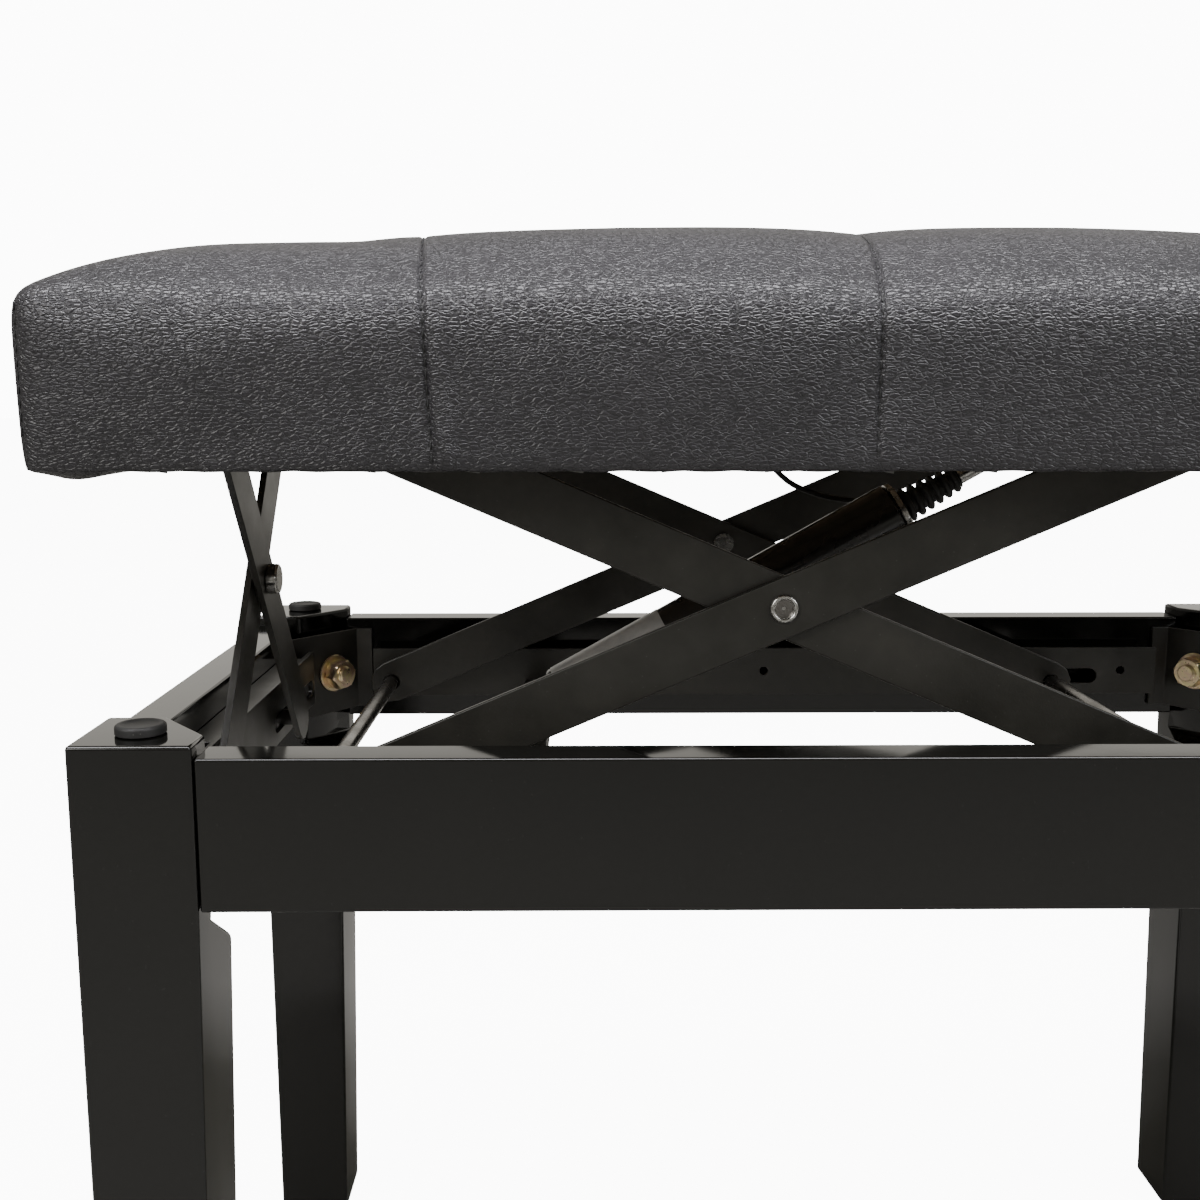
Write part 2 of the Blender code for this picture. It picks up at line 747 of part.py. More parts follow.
def cutSideHoles(made, sign_x, pivot_z, play):
    """A hole for the fixed stud and a slot for the sliding one, as high as their play."""
    past = SIDE_WEB + 3 * CHANNEL_THICK
    low_x, high_x = sorted((sign_x * (SIDE_WEB - CUT_PAST), sign_x * past))
    half = SIDE_PIN_RADIUS + play
    hole = prism(
        made.name + "_hole",
        stadium(
            (SIDE_FIXED_Y - CLEAR / 2, pivot_z), (SIDE_FIXED_Y + CLEAR / 2, pivot_z), half
        ),
        "YZ",
        low_x,
        high_x,
        blackSteel(),
    )
    slot = prism(
        made.name + "_slot",
        stadium(
            (SIDE_NEAR - SLOT_SPARE, pivot_z), (SIDE_FAR + SLOT_SPARE, pivot_z), half
        ),
        "YZ",
        low_x,
        high_x,
        blackSteel(),
    )
    cut(made, hole)
    cut(made, slot)


def flatBar(name, plane, start, end, half, low, high, holes, hole_radius):
    """Flat bar with round ends and round holes."""
    made = prism(name, stadium(start, end, half), plane, low, high, blackSteel())
    for index, centre in enumerate(holes):
        if plane == "XZ":
            first = (centre[0], low - CUT_PAST, centre[1])
            second = (centre[0], high + CUT_PAST, centre[1])
        else:
            first = (low - CUT_PAST, centre[0], centre[1])
            second = (high + CUT_PAST, centre[0], centre[1])
        cut(made, rod(f"{name}_hole_{index}", first, second, hole_radius, blackSteel()))
    return made


def mainScissor():
    lower_left = (FIXED_PIVOT_X, LOWER_PIVOT_Z)
    upper_left = (FIXED_PIVOT_X, UPPER_PIVOT_Z)
    lower_right = (SLIDE_X, LOWER_PIVOT_Z)
    upper_right = (SLIDE_X, UPPER_PIVOT_Z)
    middle = (PIVOT_X, PIVOT_Z)
    hole = SHAFT_RADIUS + PIVOT_CLEAR
    for label, sign in (("front", -1), ("back", 1)):
        outer = sorted((sign * ARM_PLANE, sign * (ARM_PLANE - ARM_THICK)))
        inner = sorted((sign * ARM_INNER, sign * (ARM_INNER + ARM_THICK)))
        rising = flatBar(
            "lift_arm_rising_" + label,
            "XZ",
            lower_left,
            upper_right,
            ARM_WIDTH / 2,
            outer[0],
            outer[1],
            (lower_left, middle, upper_right),
            hole,
        )
        originAt(rising, (FIXED_PIVOT_X, 0, LOWER_PIVOT_Z))
        falling = flatBar(
            "lift_arm_falling_" + label,
            "XZ",
            upper_left,
            lower_right,
            ARM_WIDTH / 2,
            inner[0],
            inner[1],
            (upper_left, middle, lower_right),
            hole,
        )
        originAt(falling, (PIVOT_X, 0, PIVOT_Z))
        centreRivet("scissor_rivet_" + label, sign)
    for name, place, origin in (
        ("shaft_lower_fixed", lower_left, None),
        ("shaft_lower_sliding", lower_right, middle),
        ("shaft_upper_fixed", upper_left, upper_left),
        ("shaft_upper_sliding", upper_right, lower_left),
    ):
        made = rod(
            name,
            (place[0], -SHAFT_HALF, place[1]),
            (place[0], SHAFT_HALF, place[1]),
            SHAFT_RADIUS,
            brightSteel() if origin is None else blackSteel(),
        )
        if origin:
            originAt(made, (origin[0], 0, origin[1]))


def centreRivet(name, sign):
    """Tubular rivet with a flared outer head."""
    outer = ARM_PLANE + CLEAR
    inner = ARM_INNER - CLEAR
    head = RIVET_HEAD_THICK
    length = outer - inner
    profile = [
        (-head, 0),
        (-head, RIVET_HEAD),
        (0, RIVET_HEAD),
        (0, RIVET_RADIUS),
        (length, RIVET_RADIUS),
        (length, RIVET_HEAD),
        (length + head / 2, RIVET_HEAD),
        (length + head, RIVET_HEAD - RIVET_LIP),
        (length + head, RIVET_HEAD - RIVET_FLARE),
        (length - head, RIVET_HEAD - RIVET_RECESS),
        (length - head, 0),
    ]
    made = turned(
        name, profile, (PIVOT_X, sign * inner, PIVOT_Z), (0, sign, 0), brightSteel()
    )
    originAt(made, (FIXED_PIVOT_X, 0, LOWER_PIVOT_Z))


def sideScissor(label, sign):
    """The outer bar rises to the back, the inner bar falls to it; studs point outwards."""
    lower_front = (SIDE_FIXED_Y, LOWER_PIVOT_Z)
    upper_front = (SIDE_FIXED_Y, UPPER_PIVOT_Z)
    lower_back = (SIDE_SLIDE_Y, LOWER_PIVOT_Z)
    upper_back = (SIDE_SLIDE_Y, UPPER_PIVOT_Z)
    middle = (SIDE_PIVOT_Y, PIVOT_Z)
    inner_face = SIDE_PLANE + ARM_THICK
    outer_from = inner_face + ARM_GAP
    bars = (
        ("side_arm_rising_" + label, lower_front, upper_back, outer_from, SIDE_OUTER),
        ("side_arm_falling_" + label, upper_front, lower_back, SIDE_PLANE, inner_face),
    )
    for name, start, end, near, far in bars:
        low, high = sorted((sign * near, sign * far))
        made = flatBar(
            name,
            "YZ",
            start,
            end,
            SIDE_WIDTH / 2,
            low,
            high,
            (middle,),
            RIVET_RADIUS + PIVOT_CLEAR,
        )
        for index, place in enumerate((start, end)):
            upper = place[1] == UPPER_PIVOT_Z
            plate = SIDE_WEB + SEAT_PLATE_THICK
            tip = SIDE_WEB + CHANNEL_THICK + SIDE_STUD_PAST
            if upper:
                tip = plate - SIDE_STUD_GAP
            stud = rod(
                f"{name}_stud_{index}",
                (sign * (near + ARM_THICK / 2), place[0], place[1]),
                (sign * tip, place[0], place[1]),
                SIDE_PIN_RADIUS,
                blackSteel(),
                sides=16,
            )
            join(made, stud)
        rising = name.startswith("side_arm_rising")
        anchor = lower_front if rising else middle
        bakeModifiers(made)
        originAt(made, (0, anchor[0], anchor[1]))
    sideRivet("side_rivet_" + label, sign)


def bakeModifiers(target):
    """Applies the modifiers, so that the mesh itself holds the finished shape."""
    graph = bpy.context.evaluated_depsgraph_get()
    finished = bpy.data.meshes.new_from_object(target.evaluated_get(graph))
    used = [added.object for added in target.modifiers if added.type == "BOOLEAN"]
    target.modifiers.clear()
    target.data = finished
    for spent in used:
        bpy.data.objects.remove(spent)


def sideRivet(name, sign):
    """Shoulder rivet with a round nut on the inner side."""
    inner = SIDE_PLANE - CLEAR
    outer = SIDE_OUTER + CLEAR
    profile = [
        (-SIDE_NUT_HEIGHT, SIDE_NUT_RADIUS - SIDE_NUT_EDGE),
        (-SIDE_NUT_HEIGHT + SIDE_NUT_EDGE, SIDE_NUT_RADIUS),
        (0, SIDE_NUT_RADIUS),
        (0, RIVET_RADIUS),
        (outer - inner, RIVET_RADIUS),
        (outer - inner, SIDE_NUT_RADIUS),
        (outer - inner + SIDE_HEAD_THICK, SIDE_NUT_RADIUS),
    ]
    made = turned(
        name, profile, (sign * inner, SIDE_PIVOT_Y, PIVOT_Z), (sign, 0, 0), brightSteel()
    )
    originAt(made, (0, SIDE_FIXED_Y, LOWER_PIVOT_Z))


def gasPoint(distance):
    return Vector((GAS_LOW_X, 0, GAS_LOW_Z)) + GAS_AXIS * distance


def gasSpring():
    low = gasPoint(0)
    profile = [
        (EYE_RADIUS / 2, 0),
        (EYE_RADIUS / 2, EYE_HALF),
        (GAS_START, EYE_HALF),
        (GAS_START, GAS_RADIUS - GAS_EDGE),
        (GAS_START + GAS_EDGE, GAS_RADIUS),
        (GAS_END - COLLAR_EDGE, GAS_RADIUS),
        (GAS_END, GAS_RADIUS - COLLAR_EDGE),
        (GAS_END, GAS_BORE),
        (GAS_BORE_START, GAS_BORE),
        (GAS_BORE_START, 0),
    ]
    cylinder = turned("gas_cylinder", profile, low, GAS_AXIS, blackPlastic(), sides=28)
    eye = rod(
        "gas_cylinder_eye",
        (low.x, -EYE_HALF, low.z),
        (low.x, EYE_HALF, low.z),
        EYE_RADIUS,
        blackPlastic(),
    )
    join(cylinder, eye)
    pin_hole = rod(
        "gas_cylinder_pin_hole",
        (low.x, -EYE_HALF - CUT_PAST, low.z),
        (low.x, EYE_HALF + CUT_PAST, low.z),
        GAS_PIN_RADIUS + PIVOT_CLEAR,
        blackPlastic(),
    )
    bakeModifiers(cylinder)
    cut(cylinder, pin_hole)
    originAt(cylinder, low)
    collar_start = GAS_END + CLEAR
    collar_end = collar_start + COLLAR_LENGTH
    collar = turned(
        "gas_collar",
        [
            (collar_start, GAS_BORE),
            (collar_start, GAS_RADIUS - COLLAR_EDGE),
            (collar_end, GAS_RADIUS - COLLAR_TAPER),
            (collar_end, GAS_BORE),
        ],
        low,
        GAS_AXIS,
        brightSteel(),
        sides=28,
        ring=True,
    )
    originAt(collar, low)
    gasBoot(low, collar_end + CLEAR)
    gasRod(low)


def gasBoot(low, start):
    """Ribbed rubber boot on the rod's gland."""
    profile = [(start, GAS_BORE)]
    pitch = BOOT_LENGTH / BOOT_RIBS
    for index in range(BOOT_RIBS):
        ridge = start + pitch * index
        shrink = BOOT_TAPER * index
        profile.append((ridge, BOOT_WAIST - shrink / 2))
        profile.append((ridge + pitch * BOOT_RIB_START, BOOT_RADIUS - shrink))
        profile.append((ridge + pitch * BOOT_RIB_END, BOOT_RADIUS - shrink))
    profile.append((start + BOOT_LENGTH, BOOT_WAIST))
    profile.append((start + BOOT_LENGTH, GAS_BORE))
    boot = turned("rod_boot", profile, low, GAS_AXIS, rubber(), sides=16, ring=True)
    originAt(boot, low)


def gasRod(low):
    """Piston rod and its end fitting, whose pin runs in the seat's gas bracket."""
    made = turned(
        "gas_rod",
        [(ROD_START, ROD_RADIUS), (HEAD_START - CLEAR, ROD_RADIUS)],
        low,
        GAS_AXIS,
        brightSteel(),
        sides=16,
    )
    originAt(made, low)
    high = gasPoint(GAS_LENGTH)
    head = turned(
        "release_head",
        [
            (HEAD_START, ROD_RADIUS + HEAD_NECK),
            (HEAD_START + HEAD_SLOPE, HEAD_HALF),
            (GAS_LENGTH - HEAD_ROUND, HEAD_HALF),
            (GAS_LENGTH + HEAD_ROUND, HEAD_HALF - HEAD_EDGE),
        ],
        low,
        GAS_AXIS,
        blackPlastic(),
        sides=16,
    )
    pin = rod(
        "release_head_pin",
        (high.x, -HEAD_HALF - HEAD_PIN_PAST, high.z),
        (high.x, HEAD_HALF + HEAD_PIN_PAST, high.z),
        GAS_PIN_RADIUS,
        blackPlastic(),
    )
    join(head, pin)
    bakeModifiers(head)
    originAt(head, low)


def gasCrossbar():
    """Bar between the long channels with two lugs and the cylinder's pivot pin."""
    low = gasPoint(0)
    top = LOWER_PIVOT_Z - CROSSBAR_DROP
    end = WEB_INNER - CLEAR
    made = box(
        "gas_crossbar",
        (low.x - CROSSBAR_WIDTH / 2, -end, top - CROSSBAR_HEIGHT),
        (low.x + CROSSBAR_WIDTH / 2, end, top),
        blackSteel(),
    )
    for index, sign in enumerate((-1, 1)):
        near = EYE_HALF + CLEAR
        low_y, high_y = sorted((sign * near, sign * (near + LUG_THICK)))
        lug = prism(
            f"gas_lug_{index}",
            stadium((low.x, top - LUG_ROOT), (low.x, low.z), EYE_RADIUS * LUG_SHARE),
            "XZ",
            low_y,
            high_y,
            blackSteel(),
        )
        join(made, lug)
    reach = EYE_HALF + CLEAR + LUG_THICK + LUG_PIN_PAST
    pin = rod(
        "gas_crossbar_pin",
        (low.x, -reach, low.z),
        (low.x, reach, low.z),
        GAS_PIN_RADIUS,
        blackSteel(),
    )
    join(made, pin)
    return made


def gasBracket():
    """Folded bracket under the board whose two cheeks hold the rod's pin with play."""
    half_x = GAS_PIN_RADIUS + GAS_FLOAT + GAS_BRACKET_EDGE
    near = HEAD_HALF + GAS_BRACKET_ROOM
    far = near + CHANNEL_THICK
    top = BOARD_BOTTOM - CLEAR
    bottom = UPPER_PIVOT_Z - GAS_PIN_RADIUS - GAS_FLOAT - GAS_BRACKET_LIP
    made = prism(
        "gas_bracket",
        [
            (-far, bottom),
            (-near, bottom),
            (-near, top - CHANNEL_THICK),
            (near, top - CHANNEL_THICK),
            (near, bottom),
            (far, bottom),
            (far, top),
            (-far, top),
        ],
        "YZ",
        GAS_HIGH_X - half_x,
        GAS_HIGH_X + half_x,
        blackSteel(),
    )
    hole = rod(
        "gas_bracket_hole",
        (GAS_HIGH_X, -far - CUT_PAST, UPPER_PIVOT_Z),
        (GAS_HIGH_X, far + CUT_PAST, UPPER_PIVOT_Z),
        GAS_PIN_RADIUS + GAS_FLOAT,
        blackSteel(),
    )
    cut(made, hole)


def seatBoard():
    """Plywood board on four battens; the side battens run the whole depth."""
    outline = roundedRectangle(BATTEN_X - BOARD_IN, BATTEN_Y - BOARD_IN, BATTEN_CORNER)
    prism(
        "seat_board",
        outline,
        "XY",
        BOARD_BOTTOM,
        BOARD_BOTTOM + BOARD_THICK,
        plywood(),
    )
    top = BOARD_BOTTOM - CLEAR
    inner_x = BATTEN_X - BATTEN_SIDE
    inner_y = BATTEN_Y - BATTEN_FRONT
    for label, sign in (("front", -1), ("back", 1)):
        low_y, high_y = sorted((sign * BATTEN_Y, sign * inner_y))
        box(
            "seat_batten_" + label,
            (-inner_x + CLEAR, low_y, BATTEN_BOTTOM),
            (inner_x - CLEAR, high_y, top),
            plywood(),
        )
    rounded = roundedRectangle(BATTEN_X, BATTEN_Y, BATTEN_CORNER)
    outer = [(x, y) for x, y in rounded if x > inner_x]
    outer.sort(key=lambda point: point[1])
    shape = outer + [(inner_x, BATTEN_Y), (inner_x, -BATTEN_Y)]
    for label, sign in (("left", -1), ("right", 1)):
        made = prism(
            "seat_batten_" + label,
            [(sign * x, y) for x, y in shape],
            "XY",
            BATTEN_BOTTOM,
            top,
            plywood(),
        )
        if sign > 0:
            half = LEVER_WIDTH / 2 + LEVER_NOTCH_ROOM
            notch = box(
                "lever_notch",
                (inner_x - CUT_PAST, LEVER_Y - half, BATTEN_BOTTOM - CUT_PAST),
                (BATTEN_X + CUT_PAST, LEVER_Y + half, BATTEN_BOTTOM + LEVER_NOTCH_DEPTH),
                plywood(),
            )
            cut(made, notch)


def seatCushion():
    """Padded top: straight sides, then a crown that levels off towards the middle."""
    start = BOARD_BOTTOM + BOARD_THICK + CLEAR
    rise = CUSHION_TOP - CUSHION_EDGE
    levels = [(0.0, start), (0.0, CUSHION_EDGE)]
    for inset in (0.003, 0.008, 0.018, 0.035, 0.060, 0.095, 0.135):
        levels.append((inset, CUSHION_EDGE + rise * (1 - math.exp(-inset / CROWN_REACH))))
    work = bmesh.new()
    rings = []
    for inset, level in levels:
        outline = roundedRectangle(
            SEAT_HALF_X - inset, SEAT_HALF_Y - inset, SEAT_CORNER, steps=6
        )
        rings.append([work.verts.new((x, y, level)) for x, y in outline])
    work.faces.new(rings[0])
    work.faces.new(rings[-1])
    for first, second in zip(rings, rings[1:]):
        for index in range(len(first)):
            after = (index + 1) % len(first)
            work.faces.new((first[index], first[after], second[after], second[index]))
    made = fromBmesh("seat_cushion", work, leather())
    made.data.shade_smooth()
    made.data.set_sharp_from_angle(angle=math.radians(50))


def releaseLever():
    tip = SEAT_HALF_X - LEVER_TIP_IN
    low_z = LEVER_TOP - LEVER_THICK
    middle_z = (LEVER_TOP + low_z) / 2
    made = box(
        "release_lever",
        (LEVER_PIVOT_X - LEVER_TAIL, LEVER_Y - LEVER_WIDTH / 2, low_z),
        (tip, LEVER_Y + LEVER_WIDTH / 2, LEVER_TOP),
        blackPlastic(),
        LEVER_EDGE,
    )
    half = LEVER_WIDTH / 2 + LEVER_ROOM
    hole = rod(
        "release_lever_hole",
        (LEVER_PIVOT_X, LEVER_Y - half - CUT_PAST, middle_z),
        (LEVER_PIVOT_X, LEVER_Y + half + CUT_PAST, middle_z),
        LEVER_PIN + LEVER_PIN_CLEAR,
        blackPlastic(),
        sides=12,
    )
    cut(made, hole)
    originAt(made, (LEVER_PIVOT_X, LEVER_Y, middle_z))
    leverBracket(half, middle_z)


def leverBracket(half, middle_z):
    """Folded bracket under the board with the lever's pin across its cheeks."""
    top = BOARD_BOTTOM - CLEAR
    bottom = middle_z - LEVER_PIN - LEVER_CHEEK
    outer = half + LEVER_CHEEK
    shape = [
        (LEVER_Y - outer, bottom),
        (LEVER_Y - half, bottom),
        (LEVER_Y - half, top - CHANNEL_THICK),
        (LEVER_Y + half, top - CHANNEL_THICK),
        (LEVER_Y + half, bottom),
        (LEVER_Y + outer, bottom),
        (LEVER_Y + outer, top),
        (LEVER_Y - outer, top),
    ]
    made = prism(
        "lever_bracket",
        shape,
        "YZ",
        LEVER_PIVOT_X - LEVER_BRACKET_HALF,
        LEVER_PIVOT_X + LEVER_BRACKET_HALF,
        blackSteel(),
    )
    pin = rod(
        "lever_bracket_pin",
        (LEVER_PIVOT_X, LEVER_Y - outer - LEVER_ROOM, middle_z),
        (LEVER_PIVOT_X, LEVER_Y + outer + LEVER_ROOM, middle_z),
        LEVER_PIN,
        blackSteel(),
        sides=12,
    )
    join(made, pin)


def cableRoute():
    """From the lever's bracket, under the sliding shaft, to a loop behind the cylinder."""
    lever = Vector((LEVER_PIVOT_X, LEVER_Y, UPPER_PIVOT_Z))
    pin = Vector((GAS_HIGH_X, 0, UPPER_PIVOT_Z))
    near_lever = ((-0.0100, 0.0105, -0.0180), (-0.0230, 0.0190, -0.0125))
    across = (  # the second number is a share of the lever's own place
        (0.0410, 0.657, -0.0100),
        (0.0110, 0.552, -0.0095),
        (-0.0290, 0.457, -0.0060),
        (-0.0940, 0.314, -0.0020),
        (-0.1440, 0.210, -0.0030),
    )
    loop = (
        (-0.1760, -0.0020, -0.0040),
        (-0.1720, 0.0160, -0.0110),
        (-0.1520, 0.0225, -0.0270),
        (-0.1360, 0.0225, -0.0410),
        (-0.1120, 0.0225, -0.0480),
        (-0.0840, 0.0225, -0.0470),
        (-0.0580, 0.0215, -0.0380),
        (-0.0360, 0.0190, -0.0230),
        (-0.0190, 0.0160, -0.0110),
    )
    points = [lever + Vector(offset) for offset in near_lever]
    points += [pin + Vector((x, LEVER_Y * share, z)) for x, share, z in across]
    points += [pin + Vector(offset) for offset in loop]
    return points


def smoothed(points, steps):
    """Points of a Catmull-Rom curve through these."""
    found = []
    for index in range(len(points) - 1):
        before = points[max(index - 1, 0)]
        first = points[index]
        second = points[index + 1]
        after = points[min(index + 2, len(points) - 1)]
        linear = second - before
        square = 2 * before - 5 * first + 4 * second - after
        cubic = 3 * first - before - 3 * second + after
        for step in range(steps):
            t = step / steps
            found.append((2 * first + linear * t + square * t**2 + cubic * t**3) / 2)
    found.append(points[-1])
    return found


def releaseCable():
    """Bowden cable from the lever's bracket to the rod's end, hanging behind the cylinder."""
    smooth = smoothed(cableRoute(), CABLE_STEPS)
    data = bpy.data.curves.new("release_cable", "CURVE")
    data.dimensions = "3D"
    data.bevel_depth = CABLE_RADIUS
    data.bevel_resolution = 2
    data.use_fill_caps = True
    spline = data.splines.new("POLY")
    spline.points.add(len(smooth) - 1)
    for target, place in zip(spline.points, smooth):
        target.co = (*place, 1)
    data.materials.append(blackPlastic())
    made = bpy.data.objects.new("release_cable", data)
    bpy.context.scene.collection.objects.link(made)


def main():
    clearScene()
    legFrame()
    for label, sign_x, sign_y in corners():
        cornerBracket(label, sign_x, sign_y)
        cornerBolt(label, sign_x, sign_y)
    for label, sign in (("front", -1), ("back", 1)):
        longChannel("base_channel_" + label, sign, False)
        longChannel("seat_channel_" + label, sign, True)
    for label, sign in (("left", -1), ("right", 1)):
        baseSideChannel("base_channel_" + label, sign)
        seatSidePlate("seat_plate_" + label, sign)
        sideScissor(label, sign)
    mainScissor()
    gasSpring()
    gasCrossbar()
    gasBracket()
    seatBoard()
    seatCushion()
    releaseLever()
    releaseCable()


main()
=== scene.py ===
import bmesh
import bpy
import json
import math
import numpy as np
from mathutils import Euler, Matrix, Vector, noise
from mathutils.kdtree import KDTree


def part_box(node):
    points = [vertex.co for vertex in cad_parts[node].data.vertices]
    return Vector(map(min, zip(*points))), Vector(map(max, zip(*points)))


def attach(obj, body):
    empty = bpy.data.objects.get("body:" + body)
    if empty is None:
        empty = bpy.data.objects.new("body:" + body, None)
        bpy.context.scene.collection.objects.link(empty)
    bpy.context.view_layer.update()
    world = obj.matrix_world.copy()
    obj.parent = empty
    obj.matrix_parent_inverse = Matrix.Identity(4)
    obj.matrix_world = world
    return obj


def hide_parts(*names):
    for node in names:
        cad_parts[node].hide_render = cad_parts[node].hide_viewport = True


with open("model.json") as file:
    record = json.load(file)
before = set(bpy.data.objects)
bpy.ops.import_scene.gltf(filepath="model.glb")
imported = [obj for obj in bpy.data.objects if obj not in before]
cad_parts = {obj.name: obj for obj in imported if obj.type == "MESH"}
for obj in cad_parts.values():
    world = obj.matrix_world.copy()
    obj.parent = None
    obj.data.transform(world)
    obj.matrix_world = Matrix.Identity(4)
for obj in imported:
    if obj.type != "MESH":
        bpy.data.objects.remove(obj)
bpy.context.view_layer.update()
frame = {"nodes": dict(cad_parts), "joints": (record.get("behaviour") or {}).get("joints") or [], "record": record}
nodes = frame["nodes"]
behaviour = frame["record"]["behaviour"]
joints = {joint["name"]: joint for joint in frame["joints"]}
bodyOf = {node: body for body, members in behaviour["bodies"].items() for node in members}
cornerNames = ("front_left", "front_right", "back_left", "back_right")


def linked(name, mesh):
    made = bpy.data.objects.new(name, mesh)
    bpy.context.scene.collection.objects.link(made)
    return made


def meshOf(name, points, faces, smoothAngle=None):
    mesh = bpy.data.meshes.new(name)
    mesh.from_pydata([tuple(point) for point in points], [], faces)
    work = bmesh.new()
    work.from_mesh(mesh)
    bmesh.ops.recalc_face_normals(work, faces=work.faces)
    work.to_mesh(mesh)
    work.free()
    if smoothAngle is not None:
        mesh.shade_smooth()
        mesh.set_sharp_from_angle(angle=math.radians(smoothAngle))
    return mesh


# the piece with its modifiers applied and removed
def baked(piece):
    graph = bpy.context.evaluated_depsgraph_get()
    finished = bpy.data.meshes.new_from_object(piece.evaluated_get(graph))
    piece.modifiers.clear()
    piece.data = finished
    return piece


def finishWith(piece, finish):
    piece.data.materials.clear()
    piece.data.materials.append(finish)
    return piece


softening = {
    "merge": 2e-6,
    "flat": 0.6,  # degrees: faces that turn less than this are joined
    "bevelFrom": 34,  # degrees: edges sharper than this are softened
    "sharpFrom": 38,  # degrees: edges sharper than this stay sharp in the shading
}


# a copy of a CAD node with merged points, softened edges and even shading
def refined(node, finish, edge=0.0, segments=3, holes=()):
    work = bmesh.new()
    work.from_mesh(nodes[node].data)
    bmesh.ops.remove_doubles(work, verts=work.verts, dist=softening["merge"])
    flat = math.radians(softening["flat"])
    bmesh.ops.dissolve_limit(work, angle_limit=flat, verts=work.verts, edges=work.edges)
    mesh = bpy.data.meshes.new(node + "_finished")
    work.to_mesh(mesh)
    work.free()
    piece = linked(node + "_finished", mesh)
    cutters = []
    for place, direction, radius in holes:
        cutter = linked("hole", lathe([(-0.01, radius), (0.01, radius)], place, direction, 20))
        cut = piece.modifiers.new("hole", "BOOLEAN")
        cut.operation = "DIFFERENCE"
        cut.solver = "EXACT"
        cut.object = cutter
        cutters.append(cutter)
    if edge:
        soft = piece.modifiers.new("edges", "BEVEL")
        soft.width = edge
        soft.segments = segments
        soft.limit_method = "ANGLE"
        soft.angle_limit = math.radians(softening["bevelFrom"])
        soft.use_clamp_overlap = True
    baked(piece)
    for cutter in cutters:
        bpy.data.objects.remove(cutter)
    piece.data.shade_smooth()
    piece.data.set_sharp_from_angle(angle=math.radians(softening["sharpFrom"]))
    even = piece.modifiers.new("even", "WEIGHTED_NORMAL")
    even.keep_sharp = True
    baked(piece)
    finishWith(piece, finish)
    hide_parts(node)
    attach(piece, bodyOf[node])
    return piece


# turns (distance, radius) points about a line; a radius of 0 closes an end
def lathe(profile, base, direction, sides=48, smoothAngle=32, name="turned"):
    along = Vector(direction).normalized()
    across = along.orthogonal().normalized()
    third = along.cross(across)
    base = Vector(base)
    points = []
    rings = []
    for distance, radius in profile:
        centre = base + along * distance
        if radius <= 0:
            rings.append([len(points)])
            points.append(centre)
            continue
        ring = []
        for index in range(sides):
            turn = math.tau * index / sides
            ring.append(len(points))
            points.append(centre + (across * math.cos(turn) + third * math.sin(turn)) * radius)
        rings.append(ring)
    faces = []
    for ring in (rings[0], rings[-1]):
        if len(ring) > 1:
            faces.append(list(ring))
    for first, second in zip(rings, rings[1:]):
        for index in range(sides):
            after = (index + 1) % sides
            corners = [
                first[index % len(first)],
                first[after % len(first)],
                second[after % len(second)],
                second[index % len(second)],
            ]
            faces.append(list(dict.fromkeys(corners)))
    return meshOf(name, points, faces, smoothAngle)


# like lathe, with a closed profile that stays clear of the axis
def latheRing(profile, base, direction, sides=48, smoothAngle=32, name="ring"):
    mesh = lathe(list(profile) + [profile[0]], base, direction, sides, smoothAngle, name)
    work = bmesh.new()
    work.from_mesh(mesh)
    ends = [face for face in work.faces if len(face.verts) == sides]
    bmesh.ops.delete(work, geom=ends, context="FACES_ONLY")
    bmesh.ops.remove_doubles(work, verts=work.verts, dist=1e-6)
    bmesh.ops.recalc_face_normals(work, faces=work.faces)
    work.to_mesh(mesh)
    work.free()
    mesh.shade_smooth()
    mesh.set_sharp_from_angle(angle=math.radians(smoothAngle))
    return mesh


def addNode(tree, kind, inputs=None, **settings):
    made = tree.nodes.new(kind)
    for name, value in settings.items():
        setattr(made, name, value)
    for name, value in (inputs or {}).items():
        if isinstance(value, bpy.types.NodeSocket):
            tree.links.new(value, made.inputs[name])
        else:
            made.inputs[name].default_value = value
    return made


def groupShell(name, inputs, outputs):
    tree = bpy.data.node_groups.new(name, "ShaderNodeTree")
    for label, kind, value in inputs:
        socket = tree.interface.new_socket(name=label, in_out="INPUT", socket_type=kind)
        if value is not None:
            socket.default_value = value
    for label, kind in outputs:
        tree.interface.new_socket(name=label, in_out="OUTPUT", socket_type=kind)
    return tree, tree.nodes.new("NodeGroupInput"), tree.nodes.new("NodeGroupOutput")


def ramp(tree, source, low, high, lowValue=0.0, highValue=1.0):
    made = addNode(tree, "ShaderNodeMapRange", {
        "Value": source,
        "From Min": low,
        "From Max": high,
        "To Min": lowValue,
        "To Max": highValue,
    })
    return made.outputs["Result"]


